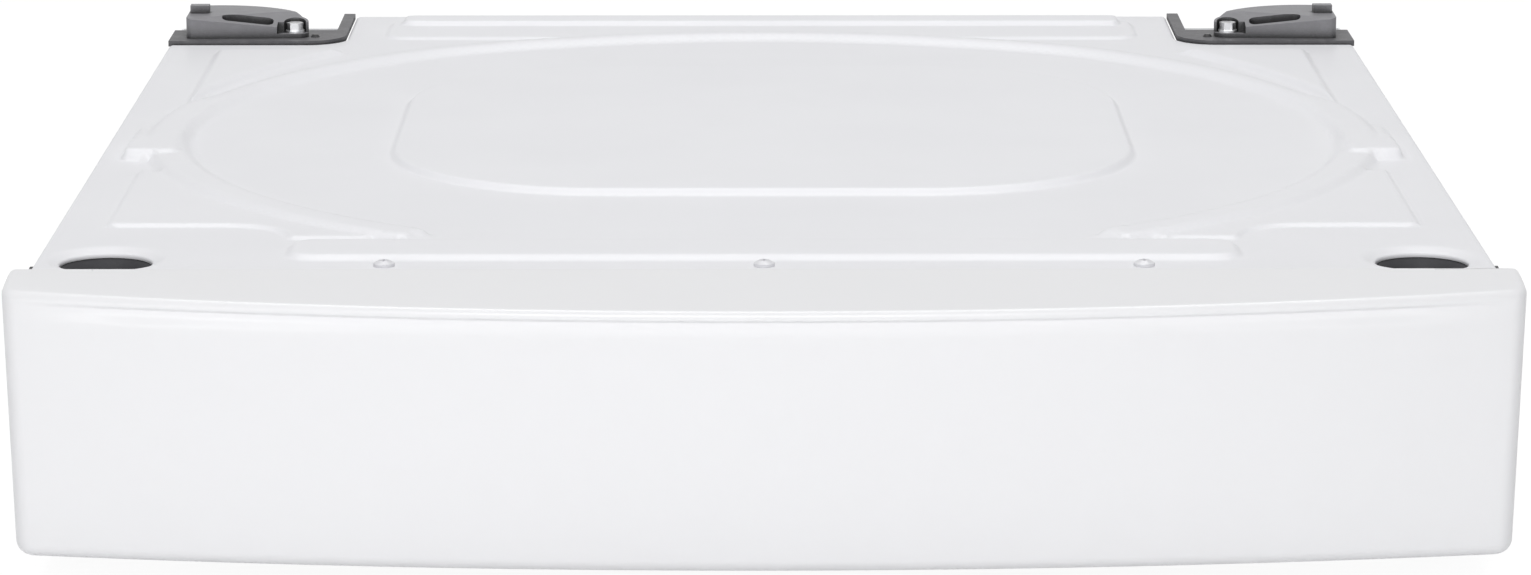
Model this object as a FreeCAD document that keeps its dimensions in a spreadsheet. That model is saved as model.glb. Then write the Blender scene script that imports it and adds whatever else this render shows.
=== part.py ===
import FreeCAD, Part
import os
import re
import Sketcher
from FreeCAD import Placement, Rotation, Vector

# A low steel pedestal that a washer or dryer stands on: a pressed deck on a folded frame,
# a bowed front panel, two rear clamps and four levelling legs. Lengths in millimetres.
# X runs to the right, Y to the rear and Z up; the origin is on the floor under the middle.
sizes = {
    "deck_width": 690.0,
    "deck_length": 727.0,
    "deck_height": 144.0,
    "steel_sheet": 1.2,
    "deck_flange": 14.0,
    "bend_radius": 2.5,
    "notch_width": 102.0,
    "notch_length": 99.0,
    "notch_radius": 22.0,
    "emboss_run": 5.0,
    "ring_inner_radius": 298.0,
    "ring_crest_inner_radius": 308.0,
    "ring_crest_outer_radius": 321.0,
    "ring_outer_radius": 328.0,
    "ring_height": 3.5,
    "ring_setback": 345.4,
    "ring_gap_angle": 44.0,
    "plateau_width": 391.0,
    "plateau_length": 361.0,
    "plateau_corner": 115.0,
    "plateau_setback": 364.5,
    "plateau_height": 3.5,
    "bar_corner": 14.0,
    "front_bar_width": 458.0,
    "front_bar_setback": 29.4,
    "front_bar_length": 45.0,
    "rear_bar_width": 444.0,
    "rear_bar_setback": 641.4,
    "rear_bar_length": 68.0,
    "rear_bar_height": 1.8,
    "rear_hem_width": 430.0,
    "rear_hem_setback": 679.4,
    "rear_hem_length": 28.0,
    "rear_hem_height": 4.6,
    "rear_hem_corner": 7.0,
    "side_tab_reach": 333.0,
    "side_tab_width": 34.0,
    "side_tab_setback": 294.0,
    "side_tab_length": 128.0,
    "gusset_height": 2.5,
    "gusset_arc_radius": 312.0,
    "front_gusset_reach": 321.0,
    "front_gusset_setback": 108.0,
    "front_gusset_step": 30.0,
    "front_gusset_shoulder": 262.0,
    "front_gusset_heel": 230.0,
    "front_gusset_rear": 294.0,
    "rear_gusset_reach": 317.0,
    "rear_gusset_setback": 416.0,
    "rear_gusset_rear": 599.0,
    "foot_hole_reach": 312.0,
    "foot_hole_setback": 37.5,
    "foot_hole_radius": 22.5,
    "foot_dish_width": 7.4,
    "foot_dish_depth": 5.0,
    "panel_width": 706.0,
    "panel_end_depth": 31.5,
    "panel_bow": 51.5,
    "panel_foot_bow": 29.0,
    "panel_foot_inset": 3.4,
    "panel_rise": 3.0,
    "panel_slope_angle": 2.8,
    "panel_floor_gap": 16.0,
    "panel_wall": 2.4,
    "panel_edge_radius": 8.0,
    "panel_side_lip": 40.0,
    "panel_top_lip": 12.0,
    "panel_foot_lip": 18.0,
    "frame_floor_gap": 20.0,
    "frame_top_flange": 22.0,
    "frame_foot_flange": 14.0,
    "frame_flange_front": 82.0,
    "corner_step": 40.0,
    "corner_shelf_length": 62.0,
    "rail_top_flange": 34.0,
    "rail_flange_width": 520.0,
    "rail_foot_flange": 10.0,
    "rear_top_flange": 20.0,
    "stiffener_reach": 120.0,
    "stiffener_depth": 30.0,
    "stiffener_crown": 34.0,
    "stiffener_lip": 15.0,
    "stiffener_front": 60.0,
    "stiffener_length": 620.0,
    "bracket_sheet": 2.5,
    "bracket_width": 74.0,
    "front_bracket_setback": 12.0,
    "front_bracket_length": 90.0,
    "front_shelf_drop": 26.5,
    "leg_plate_height": 27.0,
    "leg_reach": 300.0,
    "front_leg_setback": 66.0,
    "rear_leg_setback": 659.0,
    "stem_radius": 6.0,
    "stem_top": 100.0,
    "stem_hex": 19.0,
    "stem_hex_height": 7.0,
    "running_clearance": 0.05,
    "fitting_clearance": 0.4,
    "stem_socket": 6.0,
    "pad_radius": 22.0,
    "pad_height": 13.0,
    "pad_rim_height": 5.0,
    "pad_hub_radius": 13.0,
    "weld_nut_hex": 19.0,
    "weld_nut_height": 10.0,
    "lock_nut_hex": 19.0,
    "lock_nut_height": 7.0,
    "cup_radius": 27.0,
    "cup_bore_radius": 19.5,
    "cup_floor": 5.0,
    "cup_headroom": 0.3,
    "clamp_overhang": 0.5,
    "clamp_base_top": 2.0,
    "clamp_base_length": 38.0,
    "clamp_tongue_width": 6.5,
    "clamp_tongue_length": 96.0,
    "lever_reach": 336.0,
    "lever_setback": 8.0,
    "lever_length": 44.5,
    "lever_outer_height": 12.0,
    "lever_front_height": 11.3,
    "lever_eye_height": 2.5,
    "lever_mouth_reach": 283.0,
    "lever_tilt_angle": 14.0,
    "lever_spot_radius": 6.4,
    "lever_inner_height": 5.8,
    "lever_eye_radius": 8.0,
    "lever_back_radius": 55.0,
    "lever_corner": 4.0,
    "lever_slot_reach": 300.5,
    "lever_slot_width": 30.0,
    "lever_slot_length": 10.0,
    "lever_slot_inset": 4.0,
    "lever_slot_floor": 2.0,
    "lever_tab_width": 11.0,
    "lever_tab_length": 7.0,
    "lever_tab_height": 4.5,
    "lever_tab_setback": 18.5,
    "lever_tab_inset": 1.0,
    "pivot_reach": 273.0,
    "pivot_setback": 17.5,
    "pivot_radius": 3.0,
    "pivot_head_radius": 4.2,
    "pivot_head_height": 4.4,
    "pivot_washer_radius": 5.5,
    "pivot_washer_height": 1.2,
    "pivot_tail": 8.0,
    "pivot_nut_hex": 10.0,
    "pivot_nut_height": 5.0,
    "base_screw_reach": 261.0,
    "base_screw_setback": 14.7,
    "base_screw_radius": 1.6,
    "base_screw_head_radius": 2.8,
    "base_screw_length": 9.0,
    "deck_screw_pitch": 179.0,
    "deck_screw_setback": 20.5,
    "side_screw_setback": 26.0,
    "side_screw_drop": 6.5,
    "rear_screw_pitch": 150.0,
    "screw_radius": 2.1,
    "screw_head_radius": 5.0,
    "screw_head_height": 2.8,
    "screw_length": 6.0,
    "screw_recess_width": 1.1,
    "screw_recess_length": 5.0,
    "screw_recess_depth": 1.2,
    "clip_reach": 326.0,
    "clip_low": 52.0,
    "clip_high": 112.0,
    "clip_radius": 3.7,
    "clip_head_radius": 7.0,
    "clip_head_height": 1.8,
    "clip_tip_radius": 4.6,
    "clip_tip_length": 4.0,
    "overrun": 20.0,
}

doc = FreeCAD.newDocument("laundry_pedestal")
sheet = doc.addObject("Spreadsheet::Sheet", "sizes")
for row, (name, size) in enumerate(sizes.items(), 1):
    sheet.set(f"A{row}", name)
    sheet.set(f"B{row}", str(size))
    sheet.setAlias(f"B{row}", name)
doc.recompute()

aliases = re.compile(r"\b(" + "|".join(sizes) + r")\b")

# Places that several pieces share, all worked out from the sizes.
deck_front = "((panel_end_depth + panel_bow - deck_length - screw_head_height) / 2)"
deck_rear = f"({deck_front} + deck_length)"
deck_under = "(deck_height - steel_sheet)"
half_deck = "(deck_width / 2)"
notch_reach = f"({half_deck} - notch_width)"
notch_front = f"({deck_rear} - notch_length)"
ring_middle = f"({deck_front} + ring_setback)"
wall_outer = f"({half_deck} - steel_sheet)"
wall_inner = f"({wall_outer} - steel_sheet)"
rear_wall = f"({deck_rear} - steel_sheet)"
corner_top = f"({deck_under} - corner_step)"
shelf_rear = f"({notch_front} + corner_shelf_length)"
front_shelf = f"({deck_under} - front_shelf_drop)"
clamp_top = "(deck_height + clamp_base_top)"
lever_front = f"({notch_front} + lever_setback)"
pivot_rear = f"({notch_front} + pivot_setback)"
lever_eye_top = f"({clamp_top} + lever_eye_height)"
foot_hole_rear = f"({deck_front} + foot_hole_setback)"
dish_foot = "(deck_height - foot_dish_depth - steel_sheet)"
corners = [
    ("front_left", -1, f"({deck_front} + front_leg_setback)"),
    ("front_right", 1, f"({deck_front} + front_leg_setback)"),
    ("rear_left", -1, f"({deck_front} + rear_leg_setback)"),
    ("rear_right", 1, f"({deck_front} + rear_leg_setback)"),
]
hands = [("left", -1), ("right", 1)]
x_axis, y_axis = Vector(1, 0, 0), Vector(0, 1, 0)
finished = []


def bound(text):
    return aliases.sub(r"sizes.\1", text)


def number(text):
    return float(sheet.evalExpression(bound(text)))


def bind(item, field, text):
    item.setExpression(field, bound(text))


def new_body(label):
    body = doc.addObject("PartDesign::Body", label)
    body.Label = label
    return body


def new_sketch(body, role, at=("0", "0", "0")):
    plane = next(f for f in body.Origin.OriginFeatures if f.Role == role)
    sketch = body.newObject("Sketcher::SketchObject", "sketch")
    sketch.AttachmentSupport = (plane, [""])
    sketch.MapMode = "FlatFace"
    for axis, text in zip("xyz", at):
        if text != "0":
            bind(sketch, f"AttachmentOffset.Base.{axis}", text)
    return sketch


def pin_point(sketch, item, end, point):
    for kind, axis, text in (("DistanceX", -2, point[0]), ("DistanceY", -1, point[1])):
        if text == "0":
            sketch.addConstraint(Sketcher.Constraint("PointOnObject", item, end, axis))
            continue
        key = sketch.addConstraint(Sketcher.Constraint(kind, -1, 1, item, end, number(text)))
        bind(sketch, f"Constraints[{key}]", text)


def draw_polygon(sketch, points):
    spots = [Vector(number(x), number(y), 0) for x, y in points]
    first = sketch.GeometryCount
    count = len(points)
    for k in range(count):
        sketch.addGeometry(Part.LineSegment(spots[k], spots[(k + 1) % count]), False)
    for k in range(count):
        after = first + (k + 1) % count
        sketch.addConstraint(Sketcher.Constraint("Coincident", first + k, 2, after, 1))
    for k in range(count):
        pin_point(sketch, first + k, 1, points[k])


def draw_circle(sketch, x, y, radius):
    circle = Part.Circle(Vector(number(x), number(y), 0), Vector(0, 0, 1), number(radius))
    item = sketch.addGeometry(circle, False)
    pin_point(sketch, item, 3, (x, y))
    key = sketch.addConstraint(Sketcher.Constraint("Radius", item, number(radius)))
    bind(sketch, f"Constraints[{key}]", radius)


# A closed outline whose edges are lines, or arcs of a stated radius bulging to the right.
def draw_outline(sketch, points, arcs):
    spots = [Vector(number(x), number(y), 0) for x, y in points]
    count = len(points)
    for k in range(count):
        start, end = spots[k], spots[(k + 1) % count]
        if k not in arcs:
            sketch.addGeometry(Part.LineSegment(start, end), False)
            continue
        radius = number(arcs[k])
        chord = end - start
        half = chord.Length / 2
        out = Vector(chord.y, -chord.x, 0).normalize()
        rise = abs(radius) - (radius * radius - half * half) ** 0.5
        middle = (start + end) * 0.5 + out * (rise if radius > 0 else -rise)
        sketch.addGeometry(Part.Arc(start, middle, end), False)
    ends = {}
    for k in range(count):
        forward = k not in arcs or number(arcs[k]) > 0
        ends[k] = (1, 2) if forward else (2, 1)
    for k in range(count):
        after = (k + 1) % count
        sketch.addConstraint(Sketcher.Constraint("Coincident", k, ends[k][1], after, ends[after][0]))
    for k in range(count):
        pin_point(sketch, k, ends[k][0], points[k])
        if k in arcs:
            key = sketch.addConstraint(Sketcher.Constraint("Radius", k, abs(number(arcs[k]))))
            bind(sketch, f"Constraints[{key}]", f"abs({arcs[k]})")


def draw_rounded(sketch, left, right, low, high, radius):
    x = [number(left), number(right)]
    y = [number(low), number(high)]
    r = number(radius)
    up = Vector(0, 0, 1)
    quarter = Part.Circle().LastParameter / 4
    lines = [
        ((x[0] + r, y[0]), (x[1] - r, y[0])),
        ((x[1], y[0] + r), (x[1], y[1] - r)),
        ((x[1] - r, y[1]), (x[0] + r, y[1])),
        ((x[0], y[1] - r), (x[0], y[0] + r)),
    ]
    middles = [(x[1] - r, y[0] + r), (x[1] - r, y[1] - r), (x[0] + r, y[1] - r), (x[0] + r, y[0] + r)]
    for a, b in lines:
        sketch.addGeometry(Part.LineSegment(Vector(*a, 0), Vector(*b, 0)), False)
    for k, (cx, cy) in enumerate(middles):
        circle = Part.Circle(Vector(cx, cy, 0), up, r)
        sketch.addGeometry(Part.ArcOfCircle(circle, (k - 1) * quarter, k * quarter), False)
    for k in range(4):
        sketch.addConstraint(Sketcher.Constraint("Tangent", k, 2, 4 + k, 1))
        sketch.addConstraint(Sketcher.Constraint("Tangent", 4 + k, 2, (k + 1) % 4, 1))
        sketch.addConstraint(Sketcher.Constraint("Vertical" if k % 2 else "Horizontal", k))
        if k:
            sketch.addConstraint(Sketcher.Constraint("Equal", 4, 4 + k))
    key = sketch.addConstraint(Sketcher.Constraint("Radius", 4, r))
    bind(sketch, f"Constraints[{key}]", radius)
    sides = (("DistanceY", 0, low), ("DistanceX", 1, right), ("DistanceY", 2, high), ("DistanceX", 3, left))
    for kind, k, text in sides:
        key = sketch.addConstraint(Sketcher.Constraint(kind, -1, 1, k, 1, number(text)))
        bind(sketch, f"Constraints[{key}]", text)


def feature(body, kind, sketch, **fields):
    item = body.newObject(f"PartDesign::{kind}", kind.lower())
    item.Profile = sketch
    for field, value in fields.items():
        if isinstance(value, str):
            bind(item, field, value)
        else:
            setattr(item, field, value)
    sketch.Visibility = False
    body.Tip = item
    return item


# A pocket is cut one way or the other; the way that takes material off is the right one.
kept_share = 0.999999


def pocket(body, sketch, length, **fields):
    doc.recompute()
    before = body.Shape.Volume
    item = feature(body, "Pocket", sketch, Length=length, **fields)
    doc.recompute()
    if "Invalid" in item.State or body.Shape.Volume > before * kept_share:
        item.Reversed = not item.Reversed
        doc.recompute()
    return item


def turned(label, points, place=("0", "0", "0")):
    body = new_body(label)
    sketch = new_sketch(body, "XZ_Plane")
    draw_polygon(sketch, points)
    doc.recompute()
    axis = (sketch, ["V_Axis"])
    feature(body, "Revolution", sketch, ReferenceAxis=axis)
    put(body, place)
    return body


def put(body, place):
    for axis, text in zip("xyz", place):
        if text != "0":
            bind(body, f"Placement.Base.{axis}", text)


def folded(label, role, points, start, length):
    body = new_body(label)
    sketch = new_sketch(body, role, ("0", "0", start))
    draw_polygon(sketch, points)
    feature(body, "Pad", sketch, Length=length)
    return body


def hexagon(across, x="0", y="0"):
    turn = 360 / 6
    return [
        (f"{x} + {across} / 2 / cos(30) * cos({k * turn})", f"{y} + {across} / 2 / cos(30) * sin({k * turn})")
        for k in range(6)
    ]


def rounded_edges(body, wanted, radius):
    doc.recompute()
    base = body.Tip
    names = [f"Edge{k}" for k, edge in enumerate(base.Shape.Edges, 1) if wanted(edge)]
    item = body.newObject("PartDesign::Fillet", "fillet")
    item.Base = (base, names)
    bind(item, "Radius", radius)
    body.Tip = item
    doc.recompute()
    return item


def near(a, text):
    return abs(a - number(text)) < 1e-3


def grouped(label, members):
    group = doc.addObject("Part::Compound", label)
    group.Label = label
    group.Links = members
    finished.append(group)
    return group


# The deck: a pressed tray with its rim turned down at the sides, the rear and the two notches.
deck = new_body("top_deck")
rim = [
    (f"-{half_deck}", deck_front),
    (half_deck, deck_front),
    (half_deck, notch_front),
    (notch_reach, notch_front),
    (notch_reach, deck_rear),
    (f"-{notch_reach}", deck_rear),
    (f"-{notch_reach}", notch_front),
    (f"-{half_deck}", notch_front),
]
sketch = new_sketch(deck, "XY_Plane", ("0", "0", "(deck_height - deck_flange)"))
draw_polygon(sketch, rim)
feature(deck, "Pad", sketch, Length="deck_flange")


def upright_at(edge, x, y):
    return all(near(abs(v.Point.x), x) and near(v.Point.y, y) for v in edge.Vertexes)


def on_deck_rim(edge):
    ends = [v.Point for v in edge.Vertexes]
    return all(near(p.z, "deck_height") for p in ends) and not all(near(p.y, deck_front) for p in ends)


rounded_edges(deck, lambda edge: upright_at(edge, notch_reach, notch_front), "notch_radius")
rounded_edges(deck, on_deck_rim, "bend_radius")
tray = [
    (f"-{wall_outer}", f"{deck_front} - overrun"),
    (wall_outer, f"{deck_front} - overrun"),
    (wall_outer, f"{notch_front} - steel_sheet"),
    (f"{notch_reach} - steel_sheet", f"{notch_front} - steel_sheet"),
    (f"{notch_reach} - steel_sheet", rear_wall),
    (f"-({notch_reach} - steel_sheet)", rear_wall),
    (f"-({notch_reach} - steel_sheet)", f"{notch_front} - steel_sheet"),
    (f"-{wall_outer}", f"{notch_front} - steel_sheet"),
]
sketch = new_sketch(deck, "XY_Plane", ("0", "0", "(deck_height - deck_flange)"))
draw_polygon(sketch, tray)
pocket(deck, sketch, "deck_flange - steel_sheet")
rounded_edges(
    deck,
    lambda edge: upright_at(edge, f"({notch_reach} - steel_sheet)", f"({notch_front} - steel_sheet)"),
    "notch_radius + steel_sheet",
)


def ring_section(level):
    return [
        ("ring_inner_radius", level),
        ("ring_crest_inner_radius", f"{level} + ring_height"),
        ("ring_crest_outer_radius", f"{level} + ring_height"),
        ("ring_outer_radius", level),
    ]


def arc_reach(y):
    return f"sqrt(gusset_arc_radius ^ 2 - ({y} - {ring_middle}) ^ 2)"


def front_gusset(target, hand):
    rear = f"({deck_front} + front_gusset_rear)"
    front = f"({deck_front} + front_gusset_setback)"
    heel = f"({front} - front_gusset_step)"
    points = [
        (f"{hand} * {arc_reach(rear)}", rear),
        (f"{hand} * front_gusset_reach", rear),
        (f"{hand} * front_gusset_reach", front),
        (f"{hand} * front_gusset_shoulder", front),
        (f"{hand} * front_gusset_heel", heel),
        (f"{hand} * {arc_reach(heel)}", heel),
    ]
    draw_outline(target, points, {5: f"{hand} * gusset_arc_radius"})


def rear_gusset(target, hand):
    front = f"({deck_front} + rear_gusset_setback)"
    rear = f"({deck_front} + rear_gusset_rear)"
    points = [
        (f"{hand} * {arc_reach(front)}", front),
        (f"{hand} * rear_gusset_reach", front),
        (f"{hand} * rear_gusset_reach", rear),
        (f"{hand} * {arc_reach(rear)}", rear),
    ]
    draw_outline(target, points, {3: f"{-hand} * gusset_arc_radius"})


def side_tab(target, hand):
    reach = sorted((f"{hand} * side_tab_reach", f"{hand} * (side_tab_reach - side_tab_width)"), key=number)
    low = f"{deck_front} + side_tab_setback"
    draw_rounded(target, reach[0], reach[1], low, f"{low} + side_tab_length", "bar_corner")


def bar(target, width, setback, length, corner="bar_corner"):
    low = f"{deck_front} + {setback}"
    draw_rounded(target, f"-{width} / 2", f"{width} / 2", low, f"{low} + {length}", corner)


def plateau(target, hand):
    middle = f"({deck_front} + plateau_setback)"
    low = f"{middle} - plateau_length / 2"
    high = f"{middle} + plateau_length / 2"
    draw_rounded(target, "-plateau_width / 2", "plateau_width / 2", low, high, "plateau_corner")


def front_bar(target, hand):
    bar(target, "front_bar_width", "front_bar_setback", "front_bar_length")


def rear_bar(target, hand):
    bar(target, "rear_bar_width", "rear_bar_setback", "rear_bar_length")


def rear_hem(target, hand):
    bar(target, "rear_hem_width", "rear_hem_setback", "rear_hem_length", "rear_hem_corner")


presses = [
    (plateau, 1, "plateau_height"),
    (front_bar, 1, "ring_height"),
    (rear_bar, 1, "rear_bar_height"),
    (rear_hem, 1, "rear_hem_height"),
    (side_tab, -1, "ring_height"),
    (side_tab, 1, "ring_height"),
    (front_gusset, -1, "gusset_height"),
    (front_gusset, 1, "gusset_height"),
    (rear_gusset, -1, "gusset_height"),
    (rear_gusset, 1, "gusset_height"),
]

# Every press stands up from the deck with sloping sides and is hollow below by the sheet.
# The ring is open at the front, where the front bar takes over from it.
faces = [("deck_height", "Revolution", "Pad"), (deck_under, "Groove", "Pocket")]
for level, ring_kind, press_kind in faces:
    sketch = new_sketch(deck, "YZ_Plane", (ring_middle, "0", "0"))
    draw_polygon(sketch, ring_section(level))
    doc.recompute()
    axis = (sketch, ["V_Axis"])
    feature(deck, ring_kind, sketch, ReferenceAxis=axis, Midplane=True, Angle="360 - ring_gap_angle")
    for draw, hand, height in presses:
        sketch = new_sketch(deck, "XY_Plane", ("0", "0", level))
        draw(sketch, hand)
        taper = f"-atan(emboss_run / {height})"
        item = feature(deck, press_kind, sketch, Length=height, TaperAngle=taper)
        if press_kind == "Pocket":
            item.Reversed = True
doc.recompute()


def bored(body, role, at, spots, radius, **fields):
    for x, y in spots:
        sketch = new_sketch(body, role, at)
        draw_circle(sketch, x, y, radius)
        pocket(body, sketch, "overrun", **fields)


# The machine's front feet drop through two dished holes.
for side, hand in hands:
    spot = (f"{hand} * foot_hole_reach", foot_hole_rear)
    bored(deck, "XY_Plane", ("0", "0", "deck_height"), [spot], "foot_hole_radius + foot_dish_width")
    sketch = new_sketch(deck, "XZ_Plane", (f"{hand} * foot_hole_reach", "0", f"-{foot_hole_rear}"))
    collar = [
        ("foot_hole_radius", "deck_height - foot_dish_depth"),
        ("foot_hole_radius + foot_dish_width", "deck_height"),
        ("foot_hole_radius + foot_dish_width", deck_under),
        ("foot_hole_radius", dish_foot),
    ]
    draw_polygon(sketch, collar)
    doc.recompute()
    feature(deck, "Revolution", sketch, ReferenceAxis=(sketch, ["V_Axis"]))
deck_screw_rear = f"({deck_front} + deck_screw_setback)"
deck_screw_spots = [(f"{k} * deck_screw_pitch", deck_screw_rear) for k in (-1, 0, 1)]
screw_hole = "screw_radius + fitting_clearance"
bored(deck, "XY_Plane", ("0", "0", "deck_height"), deck_screw_spots, screw_hole)
side_screw_spot = (f"{deck_front} + side_screw_setback", "deck_height - side_screw_drop")
for side, hand in hands:
    bored(deck, "YZ_Plane", ("0", "0", f"{hand} * {half_deck}"), [side_screw_spot], screw_hole)
rear_screw_spots = [(f"{k} * rear_screw_pitch", "deck_height - side_screw_drop") for k in (-1, 0, 1)]
bored(deck, "XZ_Plane", ("0", "0", f"-{deck_rear}"), rear_screw_spots, screw_hole)
finished.append(deck)


def draw_box(sketch, left, right, low, high):
    draw_polygon(sketch, [(left, low), (right, low), (right, high), (left, high)])


# Side panels: folded channels, flanged in at the top and foot and stepped down behind the clamps.
for side, hand in hands:
    outer = f"{hand} * {wall_outer}"
    inner = f"{hand} * {wall_inner}"
    top_lip = f"{hand} * ({wall_outer} - frame_top_flange)"
    foot_lip = f"{hand} * ({wall_outer} - frame_foot_flange)"
    section = [
        (outer, "frame_floor_gap"),
        (outer, deck_under),
        (top_lip, deck_under),
        (top_lip, f"{deck_under} - steel_sheet"),
        (inner, f"{deck_under} - steel_sheet"),
        (inner, "frame_floor_gap + steel_sheet"),
        (foot_lip, "frame_floor_gap + steel_sheet"),
        (foot_lip, "frame_floor_gap"),
    ]
    length = f"{rear_wall} - {deck_front}"
    panel = folded(f"{side}_side_panel", "XZ_Plane", section, f"-{rear_wall}", length)
    start, end = f"{deck_front} - overrun", f"{deck_rear} + overrun"
    behind = f"{notch_front} - steel_sheet - fitting_clearance"
    top = (f"{deck_under} - 2 * steel_sheet", "deck_height")
    foot = ("frame_floor_gap - steel_sheet", "frame_floor_gap + 2 * steel_sheet")
    gaps = [
        (start, f"{deck_front} + frame_flange_front", top),
        (behind, end, top),
        (start, f"{deck_front} + steel_sheet", foot),
        (f"{rear_wall} - steel_sheet", end, foot),
    ]
    for start, end, (low, high) in gaps:
        sketch = new_sketch(panel, "YZ_Plane", ("0", "0", inner))
        draw_box(sketch, start, end, low, high)
        feature(panel, "Pocket", sketch, Length="frame_top_flange", Reversed=hand < 0)
    at = ("0", "0", f"{hand} * {half_deck}")
    flange_slot = "deck_height - deck_flange - fitting_clearance"
    cuts = [
        (shelf_rear, end, corner_top),
        (behind, f"{notch_front} + fitting_clearance", flange_slot),
    ]
    for start, end, low in cuts:
        sketch = new_sketch(panel, "YZ_Plane", at)
        draw_box(sketch, start, end, low, "deck_height")
        feature(panel, "Pocket", sketch, Length="overrun", Reversed=hand < 0)
    bored(panel, "YZ_Plane", at, [side_screw_spot], screw_hole)
    finished.append(panel)

# Rear panel: the same fold across the back, cut low at both corners.
section = [
    (rear_wall, "frame_floor_gap"),
    (rear_wall, deck_under),
    (f"{rear_wall} - rear_top_flange", deck_under),
    (f"{rear_wall} - rear_top_flange", f"{deck_under} - steel_sheet"),
    (f"{rear_wall} - steel_sheet", f"{deck_under} - steel_sheet"),
    (f"{rear_wall} - steel_sheet", "frame_floor_gap + steel_sheet"),
    (f"{rear_wall} - frame_foot_flange", "frame_floor_gap + steel_sheet"),
    (f"{rear_wall} - frame_foot_flange", "frame_floor_gap"),
]
back = folded("rear_panel", "YZ_Plane", section, f"-({half_deck} - 2 * steel_sheet)", f"2 * {wall_inner}")
for side, hand in hands:
    sketch = new_sketch(back, "XZ_Plane", ("0", "0", f"-{deck_rear}"))
    edge = f"{hand} * ({notch_reach} - steel_sheet - fitting_clearance)"
    draw_box(sketch, edge, f"{hand} * ({half_deck} + overrun)", corner_top, "deck_height")
    pocket(back, sketch, "rear_top_flange + overrun")
for side, hand in hands:
    sketch = new_sketch(back, "XY_Plane", ("0", "0", "frame_floor_gap"))
    edge = f"{hand} * ({wall_outer} - frame_foot_flange - fitting_clearance)"
    reach = f"{hand} * ({half_deck} + overrun)"
    draw_box(sketch, edge, reach, f"{deck_rear} - overrun", f"{rear_wall} - steel_sheet")
    feature(back, "Pocket", sketch, Length="2 * steel_sheet", Reversed=True)
bored(back, "XZ_Plane", ("0", "0", f"-{deck_rear}"), rear_screw_spots, screw_hole)
finished.append(back)

# Front rail: the flat front of the frame, whose top flange takes the three deck screws.
section = [
    (deck_front, "frame_floor_gap"),
    (deck_front, deck_under),
    (f"{deck_front} + rail_top_flange", deck_under),
    (f"{deck_front} + rail_top_flange", f"{deck_under} - steel_sheet"),
    (f"{deck_front} + steel_sheet", f"{deck_under} - steel_sheet"),
    (f"{deck_front} + steel_sheet", "frame_floor_gap + steel_sheet"),
    (f"{deck_front} + rail_foot_flange", "frame_floor_gap + steel_sheet"),
    (f"{deck_front} + rail_foot_flange", "frame_floor_gap"),
]
rail = folded("front_rail", "YZ_Plane", section, f"-({half_deck} - 2 * steel_sheet)", f"2 * {wall_inner}")
for side, hand in hands:
    sketch = new_sketch(rail, "XY_Plane", ("0", "0", "deck_height"))
    edge = f"{hand} * rail_flange_width / 2"
    reach = f"{hand} * ({half_deck} + overrun)"
    rear = f"{deck_front} + rail_top_flange + overrun"
    draw_box(sketch, edge, reach, f"{deck_front} + steel_sheet", rear)
    pocket(rail, sketch, "overrun")
    sketch = new_sketch(rail, "XY_Plane", ("0", "0", "frame_floor_gap"))
    edge = f"{hand} * ({wall_outer} - frame_foot_flange - fitting_clearance)"
    draw_box(sketch, edge, reach, f"{deck_front} + steel_sheet", rear)
    feature(rail, "Pocket", sketch, Length="2 * steel_sheet", Reversed=True)
bored(rail, "XY_Plane", ("0", "0", "deck_height"), deck_screw_spots, screw_hole)
clip_levels = ("clip_low", "clip_high")
clip_spots = [(f"{hand} * clip_reach", height) for side, hand in hands for height in clip_levels]
clip_hole = "clip_radius + fitting_clearance"
bored(rail, "XZ_Plane", ("0", "0", f"-{deck_front}"), clip_spots, clip_hole)
finished.append(rail)

# Two channels stiffen the deck from front to rear.
for side, hand in hands:
    middle = f"{hand} * stiffener_reach"
    half = "stiffener_crown / 2"
    foot = f"{deck_under} - stiffener_depth"
    section = [
        (f"{middle} - {half} - stiffener_lip", deck_under),
        (f"{middle} - {half} + steel_sheet", deck_under),
        (f"{middle} - {half} + steel_sheet", f"{foot} + steel_sheet"),
        (f"{middle} + {half} - steel_sheet", f"{foot} + steel_sheet"),
        (f"{middle} + {half} - steel_sheet", deck_under),
        (f"{middle} + {half} + stiffener_lip", deck_under),
        (f"{middle} + {half} + stiffener_lip", f"{deck_under} - steel_sheet"),
        (f"{middle} + {half}", f"{deck_under} - steel_sheet"),
        (f"{middle} + {half}", foot),
        (f"{middle} - {half}", foot),
        (f"{middle} - {half}", f"{deck_under} - steel_sheet"),
        (f"{middle} - {half} - stiffener_lip", f"{deck_under} - steel_sheet"),
    ]
    rear = f"({deck_front} + stiffener_front + stiffener_length)"
    finished.append(folded(f"{side}_deck_stiffener", "XZ_Plane", section, f"-{rear}", "stiffener_length"))

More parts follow.
